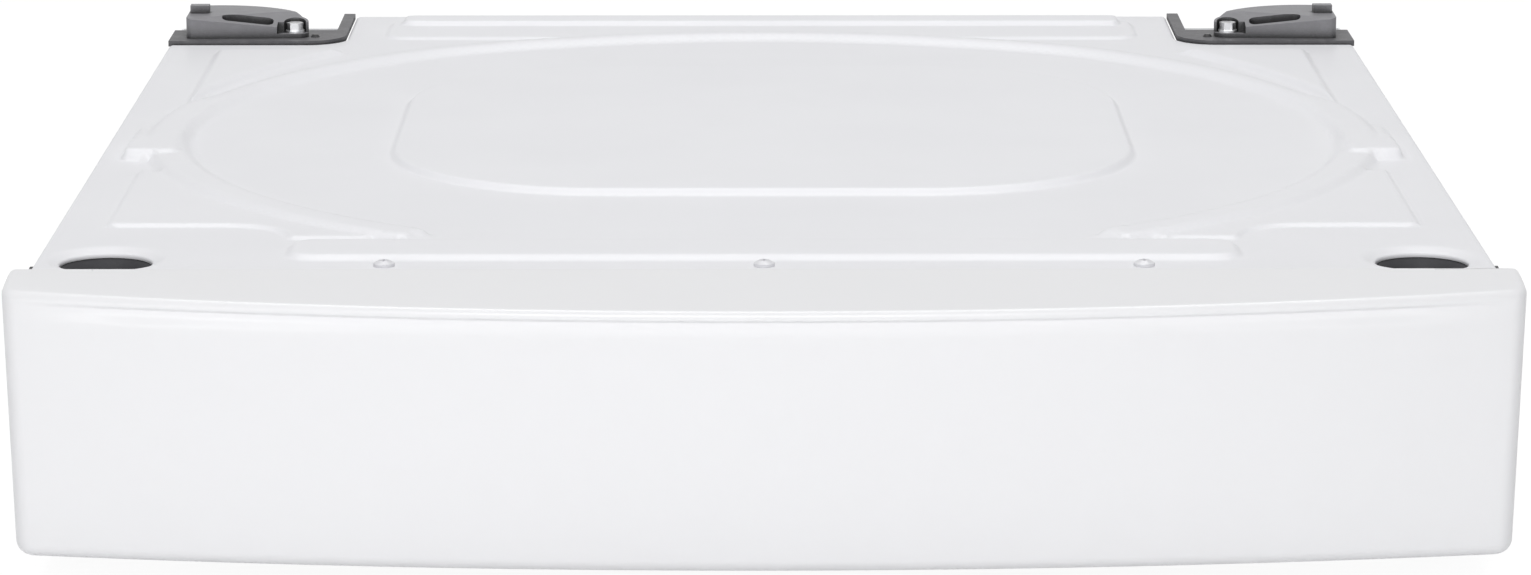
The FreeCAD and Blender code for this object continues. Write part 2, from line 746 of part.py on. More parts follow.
# Corner brackets: heavy channels that take a machine foot above and a levelling leg below.
base_screw_rear = f"({notch_front} + base_screw_setback)"
for name, hand, leg_rear in corners:
    rear_pair = name.startswith("rear")
    top = deck_under if rear_pair else front_shelf
    top_lip = f"{hand} * ({notch_reach} + clamp_tongue_width)" if rear_pair else None
    foot_lip = f"{hand} * ({wall_inner} - bracket_width)"
    outer = f"{hand} * {wall_inner}"
    inner = f"{hand} * ({wall_inner} - bracket_sheet)"
    section = [
        (outer, "leg_plate_height"),
        (outer, top),
        (top_lip or foot_lip, top),
        (top_lip or foot_lip, f"{top} - bracket_sheet"),
        (inner, f"{top} - bracket_sheet"),
        (inner, "leg_plate_height + bracket_sheet"),
        (foot_lip, "leg_plate_height + bracket_sheet"),
        (foot_lip, "leg_plate_height"),
    ]
    length = "corner_shelf_length - fitting_clearance" if rear_pair else "front_bracket_length"
    rear = shelf_rear if rear_pair else f"({deck_front} + front_bracket_setback + front_bracket_length)"
    bracket = folded(f"{name}_leg_bracket", "XZ_Plane", section, f"-{rear}", length)
    if rear_pair:
        front = f"{notch_front} + fitting_clearance"
        corner = "notch_radius - clamp_tongue_width"
        rounded_edges(bracket, lambda edge: upright_at(edge, f"abs({top_lip})", front), corner)
    foot = ("0", "0", "leg_plate_height")
    bored(bracket, "XY_Plane", foot, [(f"{hand} * leg_reach", leg_rear)], "stem_radius + fitting_clearance")
    if rear_pair:
        at = ("0", "0", "deck_height")
        spot = (f"{hand} * pivot_reach", pivot_rear)
        bored(bracket, "XY_Plane", at, [spot], "pivot_radius + fitting_clearance")
        spot = (f"{hand} * base_screw_reach", base_screw_rear)
        bored(bracket, "XY_Plane", at, [spot], "base_screw_radius + fitting_clearance")
    finished.append(bracket)


def nut(label, across, height, low, hole, place):
    body = new_body(label)
    sketch = new_sketch(body, "XY_Plane", ("0", "0", low))
    draw_polygon(sketch, hexagon(across))
    draw_circle(sketch, "0", "0", hole)
    feature(body, "Pad", sketch, Length=height)
    put(body, place)
    return body


# Levelling legs: a pad on the floor, a threaded stem that turns in it, a lock nut and a weld nut.
stem_hole = "stem_radius + running_clearance"
weld_nuts = []
for name, hand, leg_rear in corners:
    place = (f"{hand} * leg_reach", leg_rear, "0")
    section = [
        ("0", "0"),
        ("pad_radius", "0"),
        ("pad_radius", "pad_rim_height"),
        ("pad_hub_radius", "pad_height"),
        (stem_hole, "pad_height"),
        (stem_hole, "pad_height - stem_socket"),
        ("0", "pad_height - stem_socket"),
    ]
    finished.append(turned(f"{name}_foot_pad", section, place))
    stem = new_body(f"{name}_leg_stem")
    sketch = new_sketch(stem, "XY_Plane", ("0", "0", "pad_height - stem_socket"))
    draw_circle(sketch, "0", "0", "stem_radius")
    feature(stem, "Pad", sketch, Length="stem_top - pad_height + stem_socket")
    sketch = new_sketch(stem, "XY_Plane", ("0", "0", "pad_height"))
    draw_polygon(sketch, hexagon("stem_hex"))
    feature(stem, "Pad", sketch, Length="stem_hex_height")
    put(stem, place)
    finished.append(stem)
    low = "leg_plate_height - lock_nut_height"
    finished.append(nut(f"{name}_lock_nut", "lock_nut_hex", "lock_nut_height", low, stem_hole, place))
    low = "leg_plate_height + bracket_sheet"
    weld_nuts.append(nut(f"{name}_weld_nut", "weld_nut_hex", "weld_nut_height", low, stem_hole, place))
grouped("weld_nuts", weld_nuts)

# Cups under the dished holes, each standing on its corner bracket.
for side, hand in hands:
    cup_top = f"{dish_foot} - cup_headroom"
    section = [
        ("0", front_shelf),
        ("cup_radius", front_shelf),
        ("cup_radius", cup_top),
        ("cup_bore_radius", cup_top),
        ("cup_bore_radius", f"{front_shelf} + cup_floor"),
        ("0", f"{front_shelf} + cup_floor"),
    ]
    place = (f"{hand} * foot_hole_reach", foot_hole_rear, "0")
    finished.append(turned(f"front_{side}_foot_cup", section, place))

# Rear clamps: an angled base in each notch and a tapered lever that swings on one bolt.
for side, hand in hands:
    base = new_body(f"{side}_clamp_base")
    outer = f"{hand} * ({half_deck} + clamp_overhang)"
    inner = f"{hand} * ({notch_reach} + fitting_clearance)"
    tongue = f"{hand} * ({notch_reach} + fitting_clearance + clamp_tongue_width)"
    front = f"{notch_front} + fitting_clearance"
    rear = f"{notch_front} + clamp_base_length"
    tip = f"{notch_front} + clamp_tongue_length"
    sketch = new_sketch(base, "XY_Plane", ("0", "0", deck_under))
    ell = [(outer, front), (inner, front), (inner, tip), (tongue, tip), (tongue, rear), (outer, rear)]
    draw_polygon(sketch, ell)
    feature(base, "Pad", sketch, Length="clamp_base_top + steel_sheet")
    rounded_edges(base, lambda edge: upright_at(edge, f"abs({inner})", front), "notch_radius")
    at = ("0", "0", clamp_top)
    bored(base, "XY_Plane", at, [(f"{hand} * pivot_reach", pivot_rear)], "pivot_radius + fitting_clearance")
    spot = (f"{hand} * base_screw_reach", base_screw_rear)
    bored(base, "XY_Plane", at, [spot], "base_screw_radius + fitting_clearance")
    finished.append(base)

    lever = new_body(f"{side}_clamp_lever")
    reach = f"{hand} * lever_reach"
    eye = f"{hand} * pivot_reach"
    lever_rear = f"{lever_front} + lever_length"
    lever_top = f"{clamp_top} + lever_outer_height"
    points = [
        (reach, lever_front),
        (f"{hand} * (pivot_reach - lever_eye_radius / 2)", f"{pivot_rear} - lever_eye_radius * cos(30)"),
        (f"{hand} * (pivot_reach - lever_eye_radius / 2)", f"{pivot_rear} + lever_eye_radius * cos(30)"),
        (reach, lever_rear),
    ]
    arcs = {1: f"{-hand} * lever_eye_radius", 2: f"{-hand} * lever_back_radius"}
    sketch = new_sketch(lever, "XY_Plane", ("0", "0", clamp_top))
    draw_outline(sketch, points, arcs)
    feature(lever, "Pad", sketch, Length="lever_outer_height")
    for y in (lever_front, lever_rear):
        rounded_edges(lever, lambda edge: upright_at(edge, "lever_reach", y), "lever_corner")
    # Its top leans towards the front, and the more so the nearer the pivot.
    sketch = new_sketch(lever, "XZ_Plane", ("0", clamp_top, f"-{lever_front}"))
    sketch.AttachmentOffset.Rotation = Rotation(x_axis, number("lever_tilt_angle"))
    bind(sketch, "AttachmentOffset.Rotation.Angle", "lever_tilt_angle")
    slope = [
        (reach, "lever_front_height"),
        (f"{hand} * lever_mouth_reach", "lever_inner_height"),
        (f"{hand} * (pivot_reach - overrun)", "lever_inner_height"),
        (f"{hand} * (pivot_reach - overrun)", "lever_outer_height + overrun"),
        (reach, "lever_outer_height + overrun"),
    ]
    draw_polygon(sketch, slope)
    pocket(lever, sketch, "lever_length + overrun")
    # The bolt sits low in a round seat that is open to the front.
    sketch = new_sketch(lever, "XY_Plane", ("0", "0", lever_top))
    draw_circle(sketch, eye, pivot_rear, "lever_spot_radius")
    pocket(lever, sketch, "lever_outer_height - lever_eye_height")
    sketch = new_sketch(lever, "XY_Plane", ("0", "0", lever_top))
    mouth = (f"{hand} * lever_mouth_reach", f"{hand} * (pivot_reach - overrun)")
    draw_box(sketch, mouth[0], mouth[1], f"{lever_front} - overrun", pivot_rear)
    pocket(lever, sketch, "lever_outer_height - lever_eye_height")
    sketch = new_sketch(lever, "XY_Plane", ("0", "0", lever_top))
    middle = f"{hand} * lever_slot_reach"
    low = f"{lever_front} + lever_slot_inset"
    slot = (f"{middle} - lever_slot_width / 2", f"{middle} + lever_slot_width / 2")
    draw_rounded(sketch, slot[0], slot[1], low, f"{low} + lever_slot_length", "lever_corner")
    pocket(lever, sketch, "lever_outer_height - lever_slot_floor")
    sketch = new_sketch(lever, "XY_Plane", ("0", "0", clamp_top))
    left = f"{hand} * (lever_reach - lever_tab_inset)"
    right = f"{hand} * (lever_reach - lever_tab_inset - lever_tab_width)"
    low = f"{lever_front} + lever_tab_setback"
    draw_box(sketch, left, right, low, f"{low} + lever_tab_length")
    feature(lever, "Pad", sketch, Length="lever_outer_height + lever_tab_height")
    bored(lever, "XY_Plane", ("0", "0", lever_top), [(eye, pivot_rear)], "pivot_radius + running_clearance")
    finished.append(lever)

bolts, washers, nuts, base_screws = [], [], [], []
plate_foot = f"({deck_under} - bracket_sheet)"
for side, hand in hands:
    place = (f"{hand} * pivot_reach", pivot_rear, "0")
    head_foot = f"{lever_eye_top} + pivot_washer_height"
    bolt = new_body(f"{side}_pivot_bolt")
    sketch = new_sketch(bolt, "XY_Plane", ("0", "0", f"{plate_foot} - pivot_tail"))
    draw_circle(sketch, "0", "0", "pivot_radius")
    feature(bolt, "Pad", sketch, Length=f"{head_foot} - {plate_foot} + pivot_tail")
    sketch = new_sketch(bolt, "XY_Plane", ("0", "0", head_foot))
    draw_polygon(sketch, hexagon("2 * pivot_head_radius"))
    feature(bolt, "Pad", sketch, Length="pivot_head_height")
    put(bolt, place)
    bolts.append(bolt)
    section = [
        ("pivot_radius + fitting_clearance", lever_eye_top),
        ("pivot_washer_radius", lever_eye_top),
        ("pivot_washer_radius", head_foot),
        ("pivot_radius + fitting_clearance", head_foot),
    ]
    washers.append(turned(f"{side}_pivot_washer", section, place))
    low = f"{plate_foot} - pivot_nut_height"
    hole = "pivot_radius + running_clearance"
    nuts.append(nut(f"{side}_pivot_nut", "pivot_nut_hex", "pivot_nut_height", low, hole, place))
    section = [
        ("0", f"{clamp_top} - base_screw_length"),
        ("base_screw_radius", f"{clamp_top} - base_screw_length"),
        ("base_screw_radius", clamp_top),
        ("base_screw_head_radius", clamp_top),
        ("base_screw_radius", f"{clamp_top} + base_screw_radius"),
        ("0", f"{clamp_top} + base_screw_radius"),
    ]
    place = (f"{hand} * base_screw_reach", base_screw_rear, "0")
    base_screws.append(turned(f"{side}_base_screw", section, place))
grouped("pivot_bolts", bolts)
grouped("pivot_washers", washers)
grouped("pivot_nuts", nuts)
grouped("clamp_base_screws", base_screws)


# A domed screw with a cross recess; its head sits on the level z = 0 of its own frame.
def pan_screw(label, place, turn):
    section = [
        ("0", "-screw_length"),
        ("screw_radius", "-screw_length"),
        ("screw_radius", "0"),
        ("screw_head_radius", "0"),
        ("screw_head_radius", "screw_head_height / 2"),
        ("screw_head_radius / 2", "screw_head_height"),
        ("0", "screw_head_height"),
    ]
    body = turned(label, section, place)
    long = "screw_recess_length / 2"
    wide = "screw_recess_width / 2"
    for x, y in ((long, wide), (wide, long)):
        sketch = new_sketch(body, "XY_Plane", ("0", "0", "screw_head_height"))
        draw_box(sketch, f"-{x}", x, f"-{y}", y)
        feature(body, "Pocket", sketch, Length="screw_recess_depth")
    body.Placement.Rotation = turn
    return body


level = Rotation()
screws = []
for k, (x, y) in enumerate(deck_screw_spots, 1):
    screws.append(pan_screw(f"deck_screw_{k}", (x, y, "deck_height"), level))
grouped("deck_screws", screws)
screws = []
for side, hand in hands:
    place = (f"{hand} * {half_deck}", side_screw_spot[0], side_screw_spot[1])
    screws.append(pan_screw(f"{side}_side_screw", place, Rotation(y_axis, 90 * hand)))
grouped("side_screws", screws)
screws = []
for k, (x, z) in enumerate(rear_screw_spots, 1):
    screws.append(pan_screw(f"rear_screw_{k}", (x, deck_rear, z), Rotation(x_axis, -90)))
grouped("rear_screws", screws)


# Front panel: a bowed shell that leans back to its foot, all its front edges rolled over.
roll_steps = 3


def draw_bow(sketch, half, depth, bow, corner):
    radius = f"(({half} ^ 2 + {bow} ^ 2) / (2 * {bow}))"
    end = f"({half} - {corner})"
    front = f"({radius} - sqrt({radius} ^ 2 - {end} ^ 2) - {depth} - {bow})"
    side = f"({corner} - {depth})"
    roll = f"(({corner} ^ 2 + ({side} - {front}) ^ 2) / (2 * {corner}))"
    points = [(f"-{end}", front), (end, front), (half, side)]
    points += [(half, "0"), (f"-{half}", "0"), (f"-{half}", side)]
    draw_outline(sketch, points, {0: radius, 1: roll, 5: roll})


def panel_form(label, inset):
    body = new_body(label)
    back = f"({deck_front} - {inset})"
    edge = f"(panel_edge_radius - {inset})"
    turns = [90 * k / roll_steps for k in range(roll_steps + 1)]
    levels = [("panel_floor_gap", "panel_foot_inset", "panel_foot_bow", 1, turn) for turn in turns]
    levels += [("(deck_height + panel_rise)", "0", "panel_bow", -1, turn) for turn in reversed(turns)]
    sketches = []
    for level, narrow, bow, way, turn in levels:
        height = f"{level} + {way} * ({inset} + {edge} * (1 - cos({turn})))"
        sketch = new_sketch(body, "XY_Plane", ("0", back, height))
        if way < 0:
            sketch.AttachmentOffset.Rotation = Rotation(x_axis, number("panel_slope_angle"))
            bind(sketch, "AttachmentOffset.Rotation.Angle", "panel_slope_angle")
        shy = f"({edge} * (1 - sin({turn})))"
        half = f"(panel_width / 2 - {narrow} - {inset} - {shy})"
        draw_bow(sketch, half, f"(panel_end_depth - 2 * {inset} - {shy})", bow, edge)
        sketches.append(sketch)
    doc.recompute()
    feature(body, "AdditiveLoft", sketches[0], Sections=[(s, [""]) for s in sketches[1:]], Ruled=True)
    return body


shell = panel_form("panel_outside", "0 * panel_wall")
hollow = panel_form("panel_hollow", "panel_wall")
opening = new_body("panel_opening")
sketch = new_sketch(opening, "XZ_Plane", ("0", "0", f"-({deck_front} + overrun)"))
half = "(panel_width / 2 - panel_side_lip)"
draw_box(sketch, f"-{half}", half, "panel_floor_gap - overrun", "deck_height + panel_rise - panel_top_lip")
feature(opening, "Pad", sketch, Length="overrun + panel_wall + overrun / 2")
mouth = new_body("panel_mouth")
sketch = new_sketch(mouth, "XY_Plane", ("0", f"({deck_front} - panel_wall)", "panel_floor_gap - overrun"))
half = "(panel_width / 2 - panel_side_lip)"
depth = "(panel_end_depth - panel_foot_lip)"
points = [(f"-{half}", f"-{depth}"), (half, f"-{depth}"), (half, "overrun"), (f"-{half}", "overrun")]
draw_outline(sketch, points, {0: f"({half} ^ 2 + panel_foot_bow ^ 2) / (2 * panel_foot_bow)"})
feature(mouth, "Pad", sketch, Length="2 * overrun")
holes = []
for k, (x, z) in enumerate(clip_spots, 1):
    hole = doc.addObject("Part::Cylinder", "panel_clip_hole")
    bind(hole, "Radius", clip_hole)
    bind(hole, "Height", "2 * overrun")
    hole.Placement.Rotation = Rotation(x_axis, 90)
    put(hole, (x, f"{deck_front} + overrun", z))
    holes.append(hole)
tool = doc.addObject("Part::MultiFuse", "panel_openings")
tool.Shapes = [hollow, opening, mouth] + holes
front_panel = doc.addObject("Part::Cut", "front_panel")
front_panel.Label = "front_panel"
front_panel.Base = shell
front_panel.Tool = tool
finished.append(front_panel)

# Push-in clips hold the panel's side lips to the rail.
clips = []
for k, (x, z) in enumerate(clip_spots, 1):
    section = [
        ("0", "clip_head_height"),
        ("clip_head_radius", "clip_head_height"),
        ("clip_head_radius", "0"),
        ("clip_radius", "0"),
        ("clip_radius", "-(panel_wall + steel_sheet)"),
        ("clip_tip_radius", "-(panel_wall + steel_sheet)"),
        ("clip_radius", "-(panel_wall + steel_sheet + clip_tip_length)"),
        ("0", "-(panel_wall + steel_sheet + clip_tip_length)"),
    ]
    clip = turned(f"panel_clip_{k}", section, (x, f"{deck_front} - panel_wall", z))
    clip.Placement.Rotation = Rotation(x_axis, 90)
    clips.append(clip)
grouped("panel_clips", clips)

doc.recompute()
faults = [item.Label for item in doc.Objects if "Invalid" in item.State or "Error" in item.State]
for piece in finished:
    if piece.Shape.isNull() or not piece.Shape.isValid():
        faults.append(piece.Label)
if faults:
    raise ValueError(f"not built: {sorted(set(faults))}")
os.makedirs("parts", exist_ok=True)
for piece in finished:
    piece.Shape.exportStep(f"parts/{piece.Label}.step")
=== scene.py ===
import math

import bmesh
import bpy
import numpy as np
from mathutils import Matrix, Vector
from mathutils.geometry import delaunay_2d_cdt


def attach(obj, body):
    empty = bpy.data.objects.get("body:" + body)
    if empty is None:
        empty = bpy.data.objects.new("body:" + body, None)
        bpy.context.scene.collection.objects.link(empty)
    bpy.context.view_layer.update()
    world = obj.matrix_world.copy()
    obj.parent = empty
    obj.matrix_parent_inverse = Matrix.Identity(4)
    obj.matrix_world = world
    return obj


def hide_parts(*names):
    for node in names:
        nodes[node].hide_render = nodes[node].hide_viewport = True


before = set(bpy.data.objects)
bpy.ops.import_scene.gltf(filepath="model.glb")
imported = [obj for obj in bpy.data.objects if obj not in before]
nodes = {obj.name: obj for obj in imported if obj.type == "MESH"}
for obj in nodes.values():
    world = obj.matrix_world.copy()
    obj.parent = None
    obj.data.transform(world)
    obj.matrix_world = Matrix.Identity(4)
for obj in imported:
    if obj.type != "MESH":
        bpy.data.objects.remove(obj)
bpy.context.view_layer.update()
mm = 0.001
hands = {"left": -1, "right": 1}
print("frame loaded with", len(nodes), "nodes")


def addObject(name, data):
    obj = bpy.data.objects.new(name, data)
    bpy.context.scene.collection.objects.link(obj)
    return obj


def modify(obj, name, kind, **values):
    modifier = obj.modifiers.new(name, kind)
    for key, value in values.items():
        setattr(modifier, key, value)


# Attributes come before inputs, because a group node's sockets follow its tree.
def addNode(tree, kind, inputs=None, **attributes):
    node = tree.nodes.new(kind)
    for key, value in attributes.items():
        setattr(node, key, value)
    for slot, value in (inputs or {}).items():
        if isinstance(value, bpy.types.NodeSocket):
            tree.links.new(value, node.inputs[slot])
        else:
            node.inputs[slot].default_value = value
    return node


def calc(tree, operation, a, b, clamp=False):
    node = addNode(tree, "ShaderNodeMath", {0: a, 1: b}, operation=operation, use_clamp=clamp)
    return node.outputs[0]


def noise(tree, scale, detail, rough):
    spot = addNode(tree, "ShaderNodeTexCoord").outputs["Object"]
    values = {"Vector": spot, "Scale": scale, "Detail": detail, "Roughness": rough}
    return addNode(tree, "ShaderNodeTexNoise", values).outputs["Fac"]


def remap(tree, value, low, high, toLow=0.0, toHigh=1.0):
    values = {"Value": value, "From Min": low, "From Max": high, "To Min": toLow, "To Max": toHigh}
    node = addNode(tree, "ShaderNodeMapRange", values, interpolation_type="SMOOTHSTEP")
    return node.outputs["Result"]


def opaque(colour):
    return (*colour, 1.0) if isinstance(colour, tuple) else colour


def blendColours(tree, mask, a, b):
    values = {0: mask, 6: opaque(a), 7: opaque(b)}  # 6 and 7 are the mix node's colour sockets
    return addNode(tree, "ShaderNodeMix", values, data_type="RGBA").outputs[2]


# Effects that several finishes share.
effects = {
    "peel": {"detail": 1.0, "rough": 0.4, "slowShare": 0.06, "tone": (9.0, 3.0, 0.6)},
    "wear": {"flat": 0.5, "detail": 4.0, "rough": 0.6, "patches": (0.42, 0.66)},
    "dust": {"facing": (0.35, 0.95), "detail": 5.0, "rough": 0.65, "clouds": (0.35, 0.75)},
    "recess": {"samples": 8, "shade": (0.76, 0.55)},
}


def newGroup(name, inputs, outputs):
    group = bpy.data.node_groups.new(name, "ShaderNodeTree")
    for label, value in inputs.items():
        socket = group.interface.new_socket(name=label, in_out="INPUT", socket_type="NodeSocketFloat")
        socket.default_value = value
    for label in outputs:
        group.interface.new_socket(name=label, in_out="OUTPUT", socket_type="NodeSocketFloat")
    given = group.nodes.new("NodeGroupInput").outputs
    return group, given, group.nodes.new("NodeGroupOutput").inputs


def makeOrangePeel():
    group, given, out = newGroup("orangePeel", {"Scale": 420.0, "Waviness": 0.3}, ("Height", "Tone"))
    look = effects["peel"]
    fine = noise(group, given["Scale"], look["detail"], look["rough"])
    slowScale = calc(group, "MULTIPLY", given["Scale"], look["slowShare"])
    slow = noise(group, slowScale, look["detail"], look["rough"])
    waves = calc(group, "MULTIPLY", slow, given["Waviness"])
    group.links.new(calc(group, "ADD", fine, waves), out["Height"])
    group.links.new(noise(group, *look["tone"]), out["Tone"])
    return group


def makeEdgeWear():
    group, given, out = newGroup("edgeWear", {"Reach": 0.06, "Patchiness": 90.0}, ("Mask",))
    look = effects["wear"]
    shape = addNode(group, "ShaderNodeNewGeometry")
    above = calc(group, "SUBTRACT", shape.outputs["Pointiness"], look["flat"])
    edge = calc(group, "DIVIDE", above, given["Reach"], clamp=True)
    cloud = noise(group, given["Patchiness"], look["detail"], look["rough"])
    patch = remap(group, cloud, *look["patches"])
    group.links.new(calc(group, "MULTIPLY", edge, patch, clamp=True), out["Mask"])
    return group


def makeDust():
    group, given, out = newGroup("restingDust", {"Amount": 0.3, "Patchiness": 14.0}, ("Mask",))
    look = effects["dust"]
    shape = addNode(group, "ShaderNodeNewGeometry")
    parts = addNode(group, "ShaderNodeSeparateXYZ", {0: shape.outputs["Normal"]})
    up = remap(group, parts.outputs["Z"], *look["facing"])
    cloud = noise(group, given["Patchiness"], look["detail"], look["rough"])
    both = calc(group, "MULTIPLY", up, remap(group, cloud, *look["clouds"]))
    group.links.new(calc(group, "MULTIPLY", both, given["Amount"], clamp=True), out["Mask"])
    return group


# Painted shade: ambient occlusion raises a mask in recesses, slots and creases, and the finish darkens the
# colour there.
def makePaintedRecessShade():
    group, given, out = newGroup("recessShade", {"Depth": 0.01}, ("Mask",))
    look = effects["recess"]
    near = addNode(group, "ShaderNodeAmbientOcclusion", {"Distance": given["Depth"]}, samples=look["samples"])
    group.links.new(remap(group, near.outputs["AO"], *look["shade"]), out["Mask"])
    return group


orangePeel, edgeWear = makeOrangePeel(), makeEdgeWear()
restingDust, recessShade = makeDust(), makePaintedRecessShade()


def place(tree, group, **values):
    return addNode(tree, "ShaderNodeGroup", values, node_tree=group).outputs


def newFinish(name, **constants):
    mat = bpy.data.materials.new(name)
    mat.use_nodes = True
    tree = mat.node_tree
    tree.nodes.clear()
    values = {key.replace("_", " "): value for key, value in constants.items()}
    shader = addNode(tree, "ShaderNodeBsdfPrincipled", values)
    addNode(tree, "ShaderNodeOutputMaterial", {0: shader.outputs[0]})
    return mat, tree, shader


def bumped(tree, shader, height, strength, distance):
    bump = addNode(tree, "ShaderNodeBump", {"Strength": strength, "Distance": distance, "Height": height})
    tree.links.new(bump.outputs[0], shader.inputs["Normal"])


# White baked enamel on the deck, frame and panel.
enamelLooks = {
    "whiteEnamel": {"pale": (0.845, 0.846, 0.868), "deep": (0.839, 0.84, 0.862), "rough": (0.42, 0.52),
                    "peel": 520.0, "bump": 0.05, "dust": 0.03, "shine": 0.3, "coat": 0.03},
    "whitePanel": {"pale": (0.805, 0.805, 0.818), "deep": (0.801, 0.801, 0.814), "rough": (0.3, 0.36),
                   "peel": 430.0, "bump": 0.035, "dust": 0.02, "shine": 0.45, "coat": 0.12},
    "whiteScrew": {"pale": (0.72, 0.72, 0.74), "deep": (0.66, 0.66, 0.69), "rough": (0.3, 0.45),
                   "peel": 900.0, "bump": 0.05, "dust": 0.1, "shine": 0.5, "coat": 0.1},
}
enamelShared = {"coatRough": 0.12, "waviness": 0.5, "wearReach": 0.09, "wearPatches": 70.0,
                "wearShare": 0.02, "worn": (0.6, 0.6, 0.61), "dusty": (0.7, 0.69, 0.67),
                "dustRough": 0.3, "toneRange": (0.3, 0.7), "bumpDepth": 0.0006}


def enamelFinish(name, look):
    shared = enamelShared
    mat, tree, shader = newFinish(name, Specular_IOR_Level=look["shine"],
                                  Coat_Roughness=shared["coatRough"], Coat_Weight=look["coat"])
    peel = place(tree, orangePeel, Scale=look["peel"], Waviness=shared["waviness"])
    dust = place(tree, restingDust, Amount=look["dust"])["Mask"]
    wear = place(tree, edgeWear, Reach=shared["wearReach"], Patchiness=shared["wearPatches"])["Mask"]
    tone = blendColours(tree, peel["Tone"], look["pale"], look["deep"])
    dusted = blendColours(tree, dust, tone, shared["dusty"])
    worn = blendColours(tree, calc(tree, "MULTIPLY", wear, shared["wearShare"]), dusted, shared["worn"])
    tree.links.new(worn, shader.inputs["Base Color"])
    rough = remap(tree, peel["Tone"], *shared["toneRange"], *look["rough"])
    dull = calc(tree, "MULTIPLY", dust, shared["dustRough"])
    tree.links.new(calc(tree, "ADD", rough, dull), shader.inputs["Roughness"])
    bumped(tree, shader, peel["Height"], look["bump"], shared["bumpDepth"])
    return mat


# Dark grey: coated steel on the clamp bases, grained moulding on the levers and cups. All carry painted shade
# in their recesses.
greyLooks = {
    "greySteel": {"pale": (0.085, 0.084, 0.09), "deep": (0.07, 0.069, 0.074), "rough": (0.45, 0.56),
                  "grain": 900.0, "bump": 0.1, "worn": (0.16, 0.16, 0.165), "recess": 0.003},
    "greyMoulding": {"pale": (0.215, 0.213, 0.225), "deep": (0.19, 0.188, 0.2), "rough": (0.4, 0.5),
                     "grain": 1500.0, "bump": 0.16, "worn": (0.27, 0.27, 0.29), "recess": 0.018},
    # Painted shade: the cups' moulding is far darker than the moulding it copies. The darkening stands in for
    # the shade inside the foot holes.
    "cupMoulding": {"pale": (0.05, 0.05, 0.055), "deep": (0.035, 0.035, 0.04), "rough": (0.55, 0.7),
                    "grain": 1500.0, "bump": 0.16, "worn": (0.08, 0.08, 0.085), "recess": 0.004},
}
greyShared = {"shine": 0.5, "ior": 1.5, "waviness": 0.8, "wearReach": 0.08, "wearPatches": 160.0,
              "wearShare": 0.3, "dust": 0.06, "dustPatches": 30.0, "dusty": (0.32, 0.31, 0.3),
              "black": (0.012, 0.012, 0.013), "grainRange": (0.3, 1.1), "bumpDepth": 0.0004}


def greyFinish(name, look):
    shared = greyShared
    mat, tree, shader = newFinish(name, Specular_IOR_Level=shared["shine"], IOR=shared["ior"])
    grain = place(tree, orangePeel, Scale=look["grain"], Waviness=shared["waviness"])
    wear = place(tree, edgeWear, Reach=shared["wearReach"], Patchiness=shared["wearPatches"])["Mask"]
    dust = place(tree, restingDust, Amount=shared["dust"], Patchiness=shared["dustPatches"])["Mask"]
    recess = place(tree, recessShade, Depth=look["recess"])["Mask"]
    tone = blendColours(tree, grain["Tone"], look["pale"], look["deep"])
    dusted = blendColours(tree, dust, tone, shared["dusty"])
    worn = blendColours(tree, calc(tree, "MULTIPLY", wear, shared["wearShare"]), dusted, look["worn"])
    # Painted shade: the base colour goes to near black where the recess mask is high.
    tree.links.new(blendColours(tree, recess, worn, shared["black"]), shader.inputs["Base Color"])
    rough = remap(tree, grain["Height"], *shared["grainRange"], *look["rough"])
    tree.links.new(rough, shader.inputs["Roughness"])
    bumped(tree, shader, grain["Height"], look["bump"], shared["bumpDepth"])
    return mat


# Bare metals: spangled zinc sheet, bright zinc plate, black oxide.
metalLooks = {
    "galvanisedSheet": {"pale": (0.5, 0.51, 0.52), "deep": (0.36, 0.37, 0.385), "rough": (0.38, 0.58),
                        "metal": 1.0, "cells": 75.0, "bump": 0.04, "dust": 0.3},
    "zincPlate": {"pale": (0.74, 0.74, 0.75), "deep": (0.6, 0.61, 0.62), "rough": (0.29, 0.42),
                  "metal": 1.0, "cells": 420.0, "bump": 0.03, "dust": 0.15},
    "blackOxide": {"pale": (0.032, 0.032, 0.034), "deep": (0.018, 0.018, 0.019), "rough": (0.3, 0.45),
                   "metal": 0.4, "cells": 700.0, "bump": 0.03, "dust": 0.12},
}
metalShared = {"grain": 900.0, "waviness": 0.4, "wearReach": 0.08, "wearPatches": 200.0,
               "wearShare": 0.3, "dustPatches": 40.0, "dusty": (0.4, 0.39, 0.37), "dustRough": 0.4,
               "bumpDepth": 0.0004}


def metalFinish(name, look):
    shared = metalShared
    mat, tree, shader = newFinish(name, Metallic=look["metal"])
    spot = addNode(tree, "ShaderNodeTexCoord").outputs["Object"]
    cells = addNode(tree, "ShaderNodeTexVoronoi", {"Vector": spot, "Scale": look["cells"]})
    shades = addNode(tree, "ShaderNodeSeparateColor", {0: cells.outputs["Color"]}).outputs
    peel = place(tree, orangePeel, Scale=shared["grain"], Waviness=shared["waviness"])
    dust = place(tree, restingDust, Amount=look["dust"], Patchiness=shared["dustPatches"])["Mask"]
    wear = place(tree, edgeWear, Reach=shared["wearReach"], Patchiness=shared["wearPatches"])["Mask"]
    tone = blendColours(tree, shades[0], look["pale"], look["deep"])
    worn = blendColours(tree, calc(tree, "MULTIPLY", wear, shared["wearShare"]), tone, look["pale"])
    tree.links.new(blendColours(tree, dust, worn, shared["dusty"]), shader.inputs["Base Color"])
    rough = remap(tree, shades[1], 0.0, 1.0, *look["rough"])
    dull = calc(tree, "MULTIPLY", dust, shared["dustRough"])
    tree.links.new(calc(tree, "ADD", rough, dull), shader.inputs["Roughness"])
    bumped(tree, shader, peel["Height"], look["bump"], shared["bumpDepth"])
    return mat


